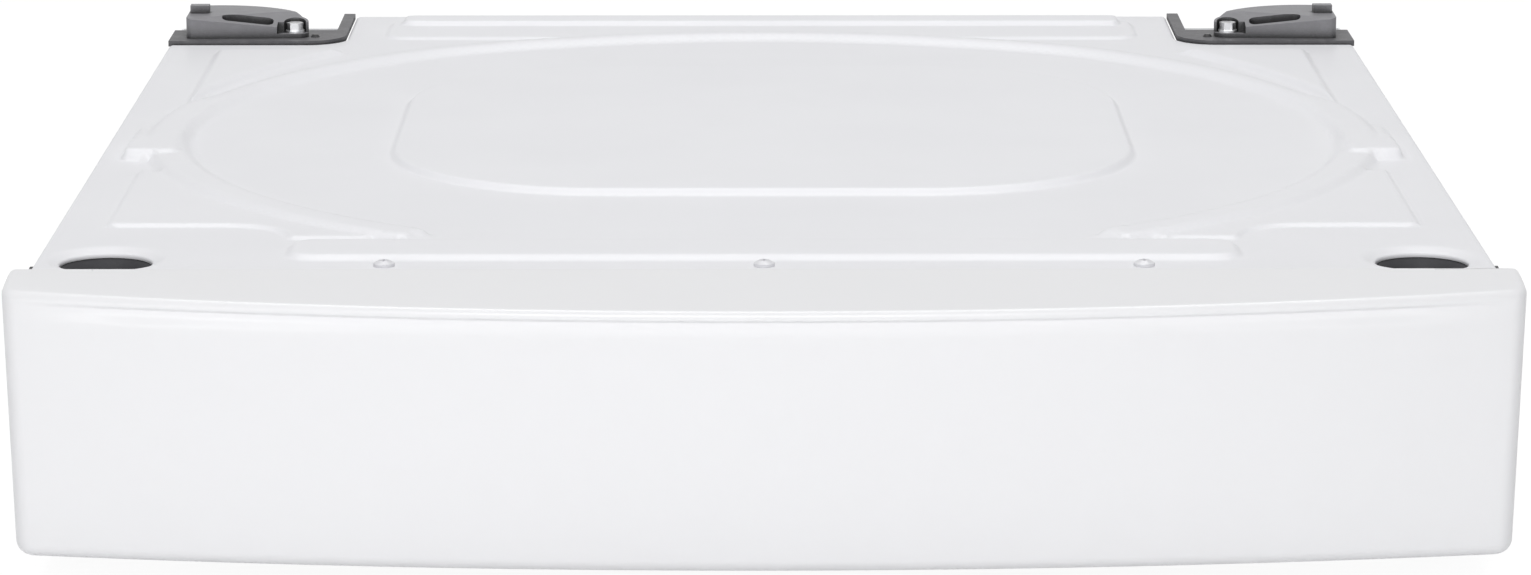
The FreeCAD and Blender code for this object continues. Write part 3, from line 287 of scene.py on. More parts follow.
# Natural nylon for the clips and black rubber for the pads.
softLooks = {
    "clipNylon": {"pale": (0.66, 0.65, 0.6), "deep": (0.58, 0.57, 0.52), "rough": (0.35, 0.5),
                  "grain": 800.0, "bump": 0.06, "subsurface": 0.08},
    "footRubber": {"pale": (0.045, 0.045, 0.047), "deep": (0.028, 0.028, 0.029), "rough": (0.68, 0.85),
                   "grain": 1300.0, "bump": 0.25, "subsurface": 0.0},
}
softShared = {"scatter": 0.003, "waviness": 0.6, "dust": 0.35, "dustPatches": 50.0,
              "dusty": (0.35, 0.34, 0.32), "grainRange": (0.3, 1.1), "bumpDepth": 0.0004}


def softFinish(name, look):
    shared = softShared
    mat, tree, shader = newFinish(name, Subsurface_Weight=look["subsurface"],
                                  Subsurface_Scale=shared["scatter"])
    grain = place(tree, orangePeel, Scale=look["grain"], Waviness=shared["waviness"])
    dust = place(tree, restingDust, Amount=shared["dust"], Patchiness=shared["dustPatches"])["Mask"]
    tone = blendColours(tree, grain["Tone"], look["pale"], look["deep"])
    tree.links.new(blendColours(tree, dust, tone, shared["dusty"]), shader.inputs["Base Color"])
    rough = remap(tree, grain["Height"], *shared["grainRange"], *look["rough"])
    tree.links.new(rough, shader.inputs["Roughness"])
    bumped(tree, shader, grain["Height"], look["bump"], shared["bumpDepth"])
    return mat


finishes = {}
for makeFinish, looks in ((enamelFinish, enamelLooks), (greyFinish, greyLooks),
                          (metalFinish, metalLooks), (softFinish, softLooks)):
    finishes.update({name: makeFinish(name, look) for name, look in looks.items()})
slotFinish = {
    "white_enamel": "whiteEnamel", "white_panel": "whitePanel", "white_screw": "whiteScrew",
    "galvanised_sheet": "galvanisedSheet", "dark_grey_steel": "greySteel",
    "dark_grey_moulding": "greyMoulding", "zinc_plate": "zincPlate", "black_fixing": "blackOxide",
    "clip_nylon": "clipNylon", "foot_rubber": "footRubber",
}
print("finishes made:", len(finishes))


# CAD pieces keep their shape, with soft edges and a better finish.
dressing = {"mergeAngle": 0.5, "edgeAngle": 38.0, "segments": 2, "weight": 60,
            "edgeRound": {"default": 0.5, "panel": 0.35, "foot_pad": 1.2, "foot_cup": 0.8,
                          "clamp_base": 0.7, "clamp_lever": 1.1, "nut": 0.5, "screws": 0.35,
                          "washers": 0.25, "bolts": 0.4}}

for nodeName, obj in nodes.items():
    for index, held in enumerate(obj.data.materials):
        found = [key for key in slotFinish if held and key in held.name.split(".")[0]]
        if not found:
            print("no finish for", nodeName, held and held.name)
            continue
        obj.data.materials[index] = finishes[slotFinish[max(found, key=len)]]
    kind = max((key for key in dressing["edgeRound"] if key in nodeName), key=len, default="default")
    modify(obj, "mergeFlats", "DECIMATE", decimate_type="DISSOLVE",
           angle_limit=math.radians(dressing["mergeAngle"]))
    modify(obj, "softEdges", "BEVEL", width=dressing["edgeRound"][kind] * mm,
           segments=dressing["segments"], limit_method="ANGLE",
           angle_limit=math.radians(dressing["edgeAngle"]), use_clamp_overlap=True)
    modify(obj, "evenShading", "WEIGHTED_NORMAL", keep_sharp=True, weight=dressing["weight"])
print("CAD pieces dressed")


# Camera, lamps and floor.
cameraView = {"spot": (-0.006285, -2.744468, 0.674505), "down": 12.494, "yaw": -0.162,
              "lens": 124.77, "sensor": 36.0, "farthest": 60.0}
cameraData = bpy.data.cameras.new("shot")
cameraData.lens = cameraView["lens"]
cameraData.sensor_width = cameraView["sensor"]
cameraData.sensor_fit = "HORIZONTAL"
cameraData.clip_end = cameraView["farthest"]
camera = addObject("shot", cameraData)
camera.location = cameraView["spot"]
camera.rotation_euler = (math.radians(90 - cameraView["down"]), 0.0, math.radians(cameraView["yaw"]))
bpy.context.scene.camera = camera

studio = {
    "world": 0.2, "worldTint": (0.97, 0.98, 1.0), "white": (1.0, 1.0, 1.0),
    "floor": (0.9, 0.9, 0.905), "floorReach": 30.0, "floorRough": 0.7, "floorShine": 0.1,
    "floorGlow": 0.85, "glowLevel": 1.1,
    "lamps": {
        "overhead": {"at": (0.0, 0.4, 2.8), "aim": (0.0, 0.15, 0.14), "size": (2.4, 1.4), "watts": 42.0},
        "frontKey": {"at": (-0.15, -3.5, 1.6), "aim": (0.0, -0.3, 0.1), "size": (2.0, 1.0), "watts": 64.0},
        "frontLeft": {"at": (-2.0, -3.0, 0.4), "aim": (-0.2, -0.4, 0.08), "size": (1.4, 0.6),
                      "watts": 11.5},
        "frontRight": {"at": (2.0, -3.0, 0.4), "aim": (0.2, -0.4, 0.08), "size": (1.4, 0.6), "watts": 6.0},
    },
}

for lampName, lamp in studio["lamps"].items():
    data = bpy.data.lights.new(lampName, "AREA")
    data.shape = "RECTANGLE"
    data.size, data.size_y = lamp["size"]
    data.energy = lamp["watts"]
    light = addObject(lampName, data)
    light.location = lamp["at"]
    facing = Vector(lamp["aim"]) - Vector(lamp["at"])
    light.rotation_euler = facing.to_track_quat("-Z", "Y").to_euler()


# One where the camera sees a surface straight, in a reflection or through glass.
def seenDirect(tree):
    path = addNode(tree, "ShaderNodeLightPath").outputs
    seen = calc(tree, "ADD", path["Is Camera Ray"], path["Is Glossy Ray"], clamp=True)
    return calc(tree, "ADD", seen, path["Is Transmission Ray"], clamp=True)


def mixShaders(tree, share, first, second):
    values = {0: share, 1: first.outputs[0], 2: second.outputs[0]}
    return addNode(tree, "ShaderNodeMixShader", values).outputs[0]


world = bpy.data.worlds.new("studioWorld")
bpy.context.scene.world = world
world.use_nodes = True
tree = world.node_tree
tree.nodes.clear()
dim = addNode(tree, "ShaderNodeBackground",
              {"Color": opaque(studio["worldTint"]), "Strength": studio["world"]})
white = addNode(tree, "ShaderNodeBackground", {"Color": opaque(studio["white"])})
addNode(tree, "ShaderNodeOutputWorld", {0: mixShaders(tree, seenDirect(tree), dim, white)})

floorMesh = bpy.data.meshes.new("floor")
reach = studio["floorReach"]
floorMesh.from_pydata([(-reach, -reach, 0), (reach, -reach, 0), (reach, reach, 0), (-reach, reach, 0)],
                      [], [(0, 1, 2, 3)])
floor = addObject("floor", floorMesh)
floorMat, tree, shader = newFinish("paleFloor", Base_Color=opaque(studio["floor"]),
                                   Roughness=studio["floorRough"],
                                   Specular_IOR_Level=studio["floorShine"])
glow = addNode(tree, "ShaderNodeEmission",
               {"Color": opaque(studio["white"]), "Strength": studio["glowLevel"]})
share = calc(tree, "MULTIPLY", seenDirect(tree), studio["floorGlow"])
out = [node for node in tree.nodes if node.type == "OUTPUT_MATERIAL"][0]
tree.links.new(mixShaders(tree, share, shader, glow), out.inputs[0])
floorMesh.materials.append(floorMat)
bpy.context.scene.view_settings.view_transform = "Standard"
print("stage lit")


# Outlines and mesh helpers, in millimetres and degrees.
def ease(t):
    t = np.clip(t, 0.0, 1.0)
    return t * t * t * (t * (6 * t - 15) + 10)


def sweep(x, y, radius, start, end, steps):
    turns = [math.radians(start + (end - start) * k / steps) for k in range(steps + 1)]
    return [(x + radius * math.cos(turn), y + radius * math.sin(turn)) for turn in turns]


# Points from start up to, and without, end.
def straight(start, end, steps, first=0):
    return [(start[0] + (end[0] - start[0]) * k / steps, start[1] + (end[1] - start[1]) * k / steps)
            for k in range(first, steps)]


def mirrored(points):
    return [(-x, y) for x, y in reversed(points)]


# How far each point lies inside a closed outline, less than zero outside it.
def insideDistance(points, outline):
    ring = np.array(outline)
    best = np.full(len(points), np.inf)
    inside = np.zeros(len(points), bool)
    for a, b in zip(ring, np.roll(ring, -1, axis=0)):
        edge = b - a
        size = float(edge @ edge)
        if size < 1e-9:
            continue
        t = np.clip(((points - a) @ edge) / size, 0, 1)
        best = np.minimum(best, np.hypot(*(points - a - t[:, None] * edge).T))
        crosses = (a[1] > points[:, 1]) != (b[1] > points[:, 1])
        with np.errstate(divide="ignore", invalid="ignore"):
            at = a[0] + (points[:, 1] - a[1]) / (b[1] - a[1]) * edge[0]
        inside ^= crosses & (points[:, 0] < at)
    return np.where(inside, best, -best)


# Evenly spaced points along an outline, shifted inwards.
def offsetLoop(outline, shift, spacing):
    ring = np.array(outline)
    ring = ring[np.hypot(*(ring - np.roll(ring, 1, axis=0)).T) > 1e-6]
    legs = np.hypot(*(np.roll(ring, -1, axis=0) - ring).T)
    along = np.concatenate([[0], np.cumsum(legs)])
    closed = np.vstack([ring, ring[:1]])
    stops = np.linspace(0, along[-1], max(8, int(along[-1] / spacing)), endpoint=False)
    loop = np.column_stack([np.interp(stops, along, closed[:, axis]) for axis in (0, 1)])
    tangent = np.roll(loop, -1, axis=0) - np.roll(loop, 1, axis=0)
    tangent /= np.hypot(*tangent.T)[:, None] + 1e-12
    normal = np.column_stack([-tangent[:, 1], tangent[:, 0]])
    area = np.sum(closed[:-1, 0] * closed[1:, 1] - closed[1:, 0] * closed[:-1, 1])
    return loop + normal * shift * (1 if area > 0 else -1)


# A face over the corners, which may hold the same point twice.
def addFace(mesh, corners):
    mesh.faces.new([v for k, v in enumerate(corners) if v not in corners[:k]])


# For an open sheet, rightWay tests whether the faces point outwards.
def finishedMesh(mesh, name, crease=0.6, rightWay=None):
    bmesh.ops.recalc_face_normals(mesh, faces=mesh.faces[:])
    if rightWay and not rightWay(mesh.faces):
        bmesh.ops.reverse_faces(mesh, faces=mesh.faces[:])
    for face in mesh.faces:
        face.smooth = True
    for edge in mesh.edges:
        if len(edge.link_faces) == 2 and edge.calc_face_angle(0) > crease:
            edge.smooth = False
    data = bpy.data.meshes.new(name)
    mesh.to_mesh(data)
    mesh.free()
    return data


def newPiece(name, mesh, slotName, body, replaced):
    obj = addObject(name, mesh)
    mesh.materials.append(finishes[slotFinish[slotName]])
    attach(obj, body)
    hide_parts(replaced)
    return obj


# The pressed deck. A press has its outline, how tall it is and how long its slope runs.
deckForm = {
    "top": 144.0, "sheet": 1.2, "bend": 2.5, "bendSteps": 5, "flangeFoot": 130.0,
    "front": -323.4, "rear": 403.6, "half": 345.0,
    "notchReach": 243.0, "notchFront": 304.6, "notchRound": 22.0, "cornerRound": 3.0,
    "ringMiddle": 22.0, "ring": (299.5, 307.5, 321.0, 327.5), "ringTall": 4.2,
    "ringGap": 31.4, "ringEnd": 9.0, "ringFlat": 9.0, "flatFrom": 0.75,
    "ringSlim": 8.0, "slimFrom": 80.0, "slimRun": 60.0,
    "holeReach": 312.0, "holeRear": -285.9, "holeRadius": 22.5, "holeSteps": 48,
    "dishWidth": 7.4, "dishDepth": 2.5, "dishStart": 1.5, "lip": ((0.985, 0.5), (0.975, 1.4)),
    "plateau": {"box": (-195.5, 195.5, -139.4, 221.6), "round": 115.0, "steps": 16, "tall": 3.5, "run": 5.2},
    "frontBar": {"box": (-229.0, 229.0, -294.0, -249.0), "round": 14.0, "steps": 6, "tall": 2.8, "run": 6.5},
    "rearStep": {"box": (-222.0, 222.0, 318.0, 380.5), "round": 14.0, "steps": 6, "tall": 1.8, "run": 4.0},
    "rearBar": {"box": (-215.0, 215.0, 356.0, 384.0), "round": 7.0, "steps": 6, "tall": 4.6, "run": 5.0},
    "sideTab": {"box": (302.0, 334.0, -48.0, 98.6), "round": 5.0, "steps": 6, "tall": 1.9, "run": 4.5,
                "fadeFrom": -44.0, "fade": 120.0},
    "frontGusset": {"reach": 321.0, "front": -215.4, "heel": -245.4, "rear": -78.0, "radius": 312.0,
                    "bend": 30.0, "bendAt": 260.0, "bendSteps": 8, "steps": 22, "tall": 1.8, "run": 3.2},
    "rearGusset": {"reach": 317.0, "front": 95.0, "rear": 275.6, "middle": (-78.0, 34.8), "radius": 395.0,
                   "steps": 22, "tall": 3.6, "run": 7.5},
    "fineness": {"step": 14.0, "sides": (8.0, 7.0), "ends": (6.0, 7.0), "clear": 5.0,
                 "ringCount": 260, "ringRows": (7, 6), "ringMargin": 3.0, "loopMargin": 2.5,
                 "loopRows": 3, "loopSpacing": 5.5, "dishRings": (1.2, 2.6, 4.2, 6.0, 7.8, 9.5, 12.0),
                 "rimClear": 1.0, "holeClear": 0.6, "cell": 0.6},
    "rimSteps": {"side": 60, "corner": 5, "ledge": 9, "hollow": 12, "notch": 8, "rear": 30, "front": 70},
}


def roundedBox(form, hand=1):
    left, right, low, high = form["box"]
    if hand < 0:
        left, right = -right, -left
    radius, points = form["round"], []
    for x, y, start in ((right - radius, low + radius, -90), (right - radius, high - radius, 0),
                        (left + radius, high - radius, 90), (left + radius, low + radius, 180)):
        points += sweep(x, y, radius, start, start + 90, form["steps"])
    return points


# The part of a circle that runs from one depth to another on its right half.
def arcBetween(middle, radius, fromY, toY, steps):
    first, last = (math.degrees(math.asin((y - middle[1]) / radius)) for y in (fromY, toY))
    return sweep(*middle, radius, first, last, steps)


def frontGusset(form):
    middle = (0.0, deckForm["ringMiddle"])
    points = [(form["reach"], form["rear"])]
    points += arcBetween(middle, form["radius"], form["rear"], form["heel"], form["steps"])
    points += sweep(form["bendAt"], form["heel"], form["bend"], 180, 90, form["bendSteps"])
    return points + [(form["reach"], form["front"])]


def rearGusset(form):
    points = arcBetween(form["middle"], form["radius"], form["rear"], form["front"], form["steps"])
    return [(form["reach"], form["rear"])] + points + [(form["reach"], form["front"])]


def press(form, outline):
    return outline, form["tall"], form["run"]


pressOutlines = [press(deckForm[name], roundedBox(deckForm[name]))
                 for name in ("plateau", "frontBar", "rearStep", "rearBar")]
for name, draw in (("frontGusset", frontGusset), ("rearGusset", rearGusset)):
    drawn = draw(deckForm[name])
    pressOutlines += [press(deckForm[name], outline) for outline in (drawn, mirrored(drawn))]
tabOutlines = [press(deckForm["sideTab"], roundedBox(deckForm["sideTab"], hand)) for hand in (1, -1)]


# The ring runs flatter and slimmer behind and stops short of the bar in front.
def flatter(sine):
    start = deckForm["flatFrom"]
    return deckForm["ringFlat"] * ease((sine - start) / (1 - start))


def slimmer(depth):
    return deckForm["ringSlim"] * ease((depth - deckForm["slimFrom"]) / deckForm["slimRun"])


def pastGap(points):
    half, ahead = math.radians(deckForm["ringGap"]), deckForm["ringMiddle"] - points[:, 1]
    return np.abs(points[:, 0]) * math.cos(half) - ahead * math.sin(half)


def deckHeights(points):
    form, tab = deckForm, deckForm["sideTab"]
    radius = np.hypot(points[:, 0], points[:, 1] - form["ringMiddle"])
    radius += flatter((points[:, 1] - form["ringMiddle"]) / np.maximum(radius, 1.0))
    a, b, c, d = form["ring"]
    outer = radius + slimmer(points[:, 1])
    height = form["ringTall"] * ease((radius - a) / (b - a)) * (1 - ease((outer - c) / (d - c)))
    height *= ease(pastGap(points) / form["ringEnd"])
    for outline, tall, run in pressOutlines:
        height = np.maximum(height, tall * ease(insideDistance(points, outline) / run))
    fade = 1 - ease((points[:, 1] - tab["fadeFrom"]) / tab["fade"])
    for outline, tall, run in tabOutlines:
        within = fade * ease(insideDistance(points, outline) / run)
        height = np.maximum(height, form["ringTall"] * within) + tall * within
    start = form["dishStart"]
    for hand in hands.values():
        away = np.hypot(points[:, 0] - hand * form["holeReach"], points[:, 1] - form["holeRear"])
        away -= form["holeRadius"]
        dish = form["dishDepth"] * (1 - ease((away + start) / (form["dishWidth"] + start)))
        height = height - dish
    return form["top"] + height


def deckRim(inset):
    form, steps = deckForm, deckForm["rimSteps"]
    half, rear = form["half"] - inset, form["rear"] - inset
    inner, front = form["notchReach"] - inset, form["notchFront"] - inset
    at, corner = form["cornerRound"], form["cornerRound"] - inset
    hollowX, hollowY = form["notchReach"] + form["notchRound"], form["notchFront"] + form["notchRound"]
    right = straight((half, form["front"]), (half, form["notchFront"] - at), steps["side"])
    right += sweep(form["half"] - at, form["notchFront"] - at, corner, 0, 90, steps["corner"])
    right += straight((form["half"] - at, front), (hollowX, front), steps["ledge"], 1)
    right += sweep(hollowX, hollowY, form["notchRound"] + inset, 270, 180, steps["hollow"])
    right += straight((inner, hollowY), (inner, form["rear"] - at), steps["notch"], 1)
    right += sweep(form["notchReach"] - at, form["rear"] - at, corner, 0, 90, steps["corner"])
    right += straight((form["notchReach"] - at, rear), (0.0, rear), steps["rear"], 1)
    return right + [(0.0, rear)] + mirrored(right)


def holeRing(hand, away=0.0):
    form = deckForm
    return sweep(hand * form["holeReach"], form["holeRear"], form["holeRadius"] + away, 0, 360,
                 form["holeSteps"])[:-1]


def ringSpots():
    form, fine = deckForm, deckForm["fineness"]
    a, b, c, d = form["ring"]
    margin, (innerRows, outerRows) = fine["ringMargin"], fine["ringRows"]
    inner = [a - margin, *np.linspace(a, b, innerRows), b + margin]
    outer = [c - margin, *np.linspace(c, d, outerRows), d + margin]
    turns = np.linspace(0, 2 * math.pi, fine["ringCount"], endpoint=False)
    circles = []
    for k, radius in enumerate(inner + outer):
        turn = turns + 0.5 * (k % 2) * (turns[1] - turns[0])
        reach = radius - flatter(np.sin(turn))
        if k >= len(inner):
            reach = reach - slimmer(form["ringMiddle"] + reach * np.sin(turn))
        circle = np.column_stack([reach * np.cos(turn), form["ringMiddle"] + reach * np.sin(turn)])
        circles.append(circle[pastGap(circle) > -margin])
    return circles


# Points for the sheet: a wide grid, and close rows along each slope.
def deckSpots(boundary, holes):
    form, fine = deckForm, deckForm["fineness"]
    across = np.arange(-form["half"] + fine["sides"][0], form["half"] - fine["sides"][1], fine["step"])
    along = np.arange(form["front"] + fine["ends"][0], form["rear"] - fine["ends"][1], fine["step"])
    grid = np.array([(x, y) for x in across for y in along])
    for outline, _, run in pressOutlines + tabOutlines:
        depth = insideDistance(grid, outline)
        grid = grid[(depth < -fine["clear"]) | (depth > run + fine["clear"])]
    spots = [grid] + ringSpots()
    margin = fine["loopMargin"]
    for outline, _, run in pressOutlines + tabOutlines:
        rows = np.linspace(0.0, run, 1 + max(fine["loopRows"], round(run)))
        spots += [offsetLoop(outline, shift, fine["loopSpacing"]) for shift in (-margin, *rows, run + margin)]
    for hand in hands.values():
        spots += [np.array(holeRing(hand, away)) for away in fine["dishRings"]]
    spots = np.vstack(spots)
    keep = insideDistance(spots, boundary) > fine["rimClear"]
    for hole in holes:
        keep &= insideDistance(spots, hole) < -fine["holeClear"]
    spots = spots[keep]
    first = np.unique(np.round(spots / fine["cell"]).astype(int), axis=0, return_index=True)[1]
    return spots[np.sort(first)]


# Makes the sheet's top and gives back the points of its outer edge and of its holes.
def pressSheet(mesh, boundary, holes):
    loops, points, edges = [boundary] + holes, [], []
    for loop in loops:
        start = len(points)
        edges += [(start + k, start + (k + 1) % len(loop)) for k in range(len(loop))]
        points += loop
    flat = [Vector(spot) for spot in points + list(deckSpots(boundary, holes))]
    verts, _, faces, origins, _, _ = delaunay_2d_cdt(flat, edges, [], 1, 1e-4)
    plan = np.array([tuple(v) for v in verts])
    middles = np.array([plan[list(face)].mean(axis=0) for face in faces])
    kept = insideDistance(middles, boundary) > 0
    for hole in holes:
        kept &= insideDistance(middles, hole) < 0
    top = [mesh.verts.new((x * mm, y * mm, z * mm)) for (x, y), z in zip(plan, deckHeights(plan))]
    for face, keep in zip(faces, kept):
        if keep:
            mesh.faces.new([top[k] for k in face])
    made = {source: top[k] for k, sources in enumerate(origins) for source in sources}
    ordered = iter([made[k] for k in range(len(points))])
    return [[next(ordered) for _ in loop] for loop in loops]


def buildDeck():
    form = deckForm
    rim = deckRim(form["bend"])
    corner = form["half"] - form["bend"]
    front = straight((-corner, form["front"]), (corner, form["front"]), form["rimSteps"]["front"], 1)
    boundary = rim + front
    mesh = bmesh.new()
    edge, *holes = pressSheet(mesh, boundary, [holeRing(hand) for hand in hands.values()])
    # The flange bends down round the sides and the rear.
    rings = [edge[:len(rim)]]
    levels = [(form["bend"] * (1 - math.sin(turn)), form["top"] - form["bend"] * (1 - math.cos(turn)))
              for turn in np.linspace(0, math.pi / 2, form["bendSteps"] + 1)[1:]]
    for inset, level in levels + [(0.0, form["flangeFoot"])]:
        rings.append([mesh.verts.new((x * mm, y * mm, level * mm)) for x, y in deckRim(inset)])
    for upper, lower in zip(rings, rings[1:]):
        for k in range(len(rim) - 1):
            mesh.faces.new((upper[k], lower[k], lower[k + 1], upper[k + 1]))
    # A short lip turns down inside each foot hole.
    for hand, rows in zip(hands.values(), ([hole] for hole in holes)):
        middle = Vector((hand * form["holeReach"] * mm, form["holeRear"] * mm, 0))
        for shrink, drop in form["lip"]:
            row = []
            for v in rows[-1]:
                away = Vector((v.co.x, v.co.y, 0)) - middle
                row.append(mesh.verts.new((*(middle + away * shrink).xy, v.co.z - drop * mm)))
            rows.append(row)
        skinRings(mesh, rows)
    data = finishedMesh(mesh, "pressedDeck", math.pi,
                        lambda faces: max(faces, key=lambda face: face.calc_area()).normal.z > 0)
    deck = newPiece("pressedDeck", data, "white_enamel", "chassis", "top_deck")
    modify(deck, "sheet", "SOLIDIFY", thickness=form["sheet"] * mm, offset=-1.0)


# Rings of points joined into a skin, for turned, hexagonal and threaded pieces.
def skinRings(mesh, rings, closed=False):
    for lower, upper in zip(rings, rings[1:] + (rings[:1] if closed else [])):
        for k in range(len(lower)):
            n = (k + 1) % len(lower)
            addFace(mesh, [lower[k], lower[n], upper[n], upper[k]])


def roundPoint(mesh, middle, radius, turn, height):
    return mesh.verts.new(((middle[0] + radius * math.cos(turn)) * mm,
                           (middle[1] + radius * math.sin(turn)) * mm, height * mm))


# Reach gives the radius and height at a turn; a radius of zero is one point.
def ringOf(mesh, middle, reach, segments=48):
    turns = [2 * math.pi * k / segments for k in range(segments)]
    if reach(0.0)[0] == 0:
        return [roundPoint(mesh, middle, 0, 0, reach(0.0)[1])] * segments
    return [roundPoint(mesh, middle, reach(turn)[0], turn, reach(turn)[1]) for turn in turns]


def turned(mesh, profile, middle, segments=48):
    skinRings(mesh, [ringOf(mesh, middle, lambda turn, spot=spot: spot, segments) for spot in profile])


buildDeck()
print("deck pressed")


# Levelling legs: threaded stem with a hexagon, lock nut below the bracket, weld nut above it.
legForm = {"reach": 300.0, "ends": {"front": -257.4, "rear": 335.6}, "crest": 6.0, "root": 5.1,
           "pitch": 1.75, "thread": ((0.0, "root"), (0.12, "root"), (0.5, "crest"), (0.62, "crest")),
           "segments": 24, "core": 4.5, "tipSlope": 0.8, "socket": 7.0, "footRound": 0.6,
           "hex": (13.1, 19.9), "top": 100.0, "across": 19.0, "faceShare": 0.965, "chamfer": 30.0,
           "lockNut": (20.1, 26.9), "bore": 6.15}


# A hexagon with both ends chamfered to a circle.
def hexagonal(mesh, low, high, bore, middle):
    half = legForm["across"] / 2
    circle, slope = half * legForm["faceShare"], math.tan(math.radians(legForm["chamfer"]))

    def corner(turn):
        return half / math.cos(turn % (math.pi / 3) - math.pi / 6)

    def edge(end, inside):
        return lambda turn: (corner(turn), end + inside * (corner(turn) - circle) * slope)

    reaches = (lambda turn: (bore, low), lambda turn: (circle, low), edge(low, 1), edge(high, -1),
               lambda turn: (circle, high), lambda turn: (bore, high))
    skinRings(mesh, [ringOf(mesh, middle, reach) for reach in reaches], closed=bore > 0)


# A right-hand thread from low to high, with a tapered tip.
def threaded(mesh, low, high, middle):
    form = legForm
    core, segments, period = form["core"], form["segments"], len(form["thread"])
    rows = []
    for r in range((int((high - low) / form["pitch"]) + 2) * period):
        share, level = form["thread"][r % period]
        row = []
        for k in range(segments):
            height = low + form["pitch"] * (r // period + share + k / segments - 1)
            taper = core + (high - height) * form["tipSlope"]
            radius = min(form[level], taper) if low < height < high else core
            turn = 2 * math.pi * k / segments
            row.append(roundPoint(mesh, middle, radius, turn, min(max(height, low), high)))
        rows.append(row)
    for r in range(len(rows) - 1):
        for k in range(segments):
            ahead, n = (r, k + 1) if k < segments - 1 else (r + period, 0)
            if ahead + 1 < len(rows):
                mesh.faces.new((rows[r][k], rows[ahead][n], rows[ahead + 1][n], rows[r + 1][k]))
    bmesh.ops.remove_doubles(mesh, verts=mesh.verts[:], dist=1e-6)
    bmesh.ops.dissolve_degenerate(mesh, edges=mesh.edges[:], dist=1e-7)
    openEdges = [edge for edge in mesh.edges if len(edge.link_faces) == 1]
    bmesh.ops.holes_fill(mesh, edges=openEdges, sides=0)


def buildLeg(end, side):
    form = legForm
    middle = (hands[side] * form["reach"], form["ends"][end])
    crest, socket, cut = form["crest"], form["socket"], form["footRound"]
    mesh = bmesh.new()
    threaded(mesh, form["hex"][1], form["top"], middle)
    hexagonal(mesh, *form["hex"], 0, middle)
    turned(mesh, [(0, socket), (crest - cut, socket), (crest, socket + cut), (crest, form["hex"][0])], middle)
    name = f"{end}{side.capitalize()}"
    newPiece(f"{name}Stem", finishedMesh(mesh, f"{name}Stem"), "zinc_plate", f"{end}_{side}_stem",
             f"{end}_{side}_leg_stem")
    mesh = bmesh.new()
    hexagonal(mesh, *form["lockNut"], form["bore"], middle)
    newPiece(f"{name}LockNut", finishedMesh(mesh, f"{name}LockNut"), "zinc_plate", f"{end}_{side}_nut",
             f"{end}_{side}_lock_nut")
    return middle


def nodeLevels(name):
    levels = [(nodes[name].matrix_world @ Vector(corner)).z / mm for corner in nodes[name].bound_box]
    return min(levels), max(levels)


legSpots = [buildLeg(end, side) for end in legForm["ends"] for side in hands]
mesh = bmesh.new()
for spot in legSpots:
    hexagonal(mesh, *nodeLevels("weld_nuts"), legForm["bore"], spot)
newPiece("weldNuts", finishedMesh(mesh, "weldNuts"), "zinc_plate", "chassis", "weld_nuts")
print("legs threaded:", len(legSpots))


# Cups that take the machine's front feet.
cupForm = {"radius": 27.0, "top": 139.8, "mouth": 21.6, "throat": 20.0, "throatDrop": 6.0, "bore": 19.5,
           "floor": 5.0, "round": 1.0, "floorRound": 3.0, "floorCut": 0.9, "segments": 64}


def buildCup(side, hand):
    form = cupForm
    node = f"front_{side}_foot_cup"
    foot, top, floorAt = nodeLevels(node)[0], form["top"], nodeLevels(node)[0] + form["floor"]
    outer, mouth, bore = form["radius"], form["mouth"], form["bore"]
    r, hollow, cut = form["round"], form["floorRound"], form["floorCut"]
    profile = [(0, foot), (outer - r, foot), (outer, foot + r), (outer, top - r), (outer - r, top),
               (mouth + r, top), (mouth, top - r), (form["throat"], top - form["throatDrop"]),
               (bore, floorAt + hollow), (bore - cut, floorAt + cut), (bore - hollow, floorAt), (0, floorAt)]
    mesh = bmesh.new()
    turned(mesh, profile, (hand * deckForm["holeReach"], deckForm["holeRear"]), form["segments"])
    cup = newPiece(f"{side}FootCup", finishedMesh(mesh, f"{side}FootCup"), "dark_grey_moulding", "chassis",
                   node)
    # The cups take the darkened moulding, as painted shade in the foot holes.
    cup.data.materials[0] = finishes["cupMoulding"]


for side, hand in hands.items():
    buildCup(side, hand)
print("foot cups turned")


# The bowed front panel, in millimetres from the deck's front edge.
panelForm = {"back": -323.4, "top": 147.0, "foot": 16.0, "half": 353.0, "footHalf": 349.6, "depth": 31.5,
             "bow": 51.5, "footBow": 29.0, "drop": 2.2, "endDrop": 1.8, "crown": 1.7,
             "roll": 3.8, "footRoll": 7.0, "rollSteps": 9, "rollWeight": 0.72,
             "cove": 2.0, "coveStart": 2.2, "coveFade": 9.0, "corner": 10.0, "cornerSteps": 8, "wall": 2.4,
             "sideLip": 40.0, "topLip": 12.0, "footLip": 18.0, "lipBlend": 6, "crease": 0.7,
             "columns": 80, "rows": 7, "topRows": 7,
             "levels": (0.4, 0.8, 1.2, 1.7, 2.2, 2.8, 3.5, 4.5, 6.0, 8.0, 10.5, 14.0)}


# A shallow hollow runs under the top edge and fades out down the face.
def coveShare(deep):
    start, fade = panelForm["coveStart"], panelForm["coveFade"]
    return ease(deep / start) * (1 - ease((deep - start) / fade))


def bowRadius(half, bow):
    return (half * half + bow * bow) / (2 * bow)


# Left end, front and right end of the panel seen from above, with round corners.
def panelPlan(half, bow):
    form = panelForm
    corner, radius = form["corner"], bowRadius(half, bow)
    middle, reach = radius - form["depth"] - bow, half - corner
    cornerY = middle - math.sqrt((radius - corner) ** 2 - reach ** 2)
    lean = math.degrees(math.atan2(reach, middle - cornerY))
    right = straight((half, 0.0), (half, cornerY), form["topRows"])
    right += sweep(reach, cornerY, corner, 0, lean - 90, form["cornerSteps"])
    right += sweep(0.0, middle, radius, lean - 90, -90, form["columns"] // 2)[1:]
    return [(-x, y) for x, y in right] + right[-2::-1]


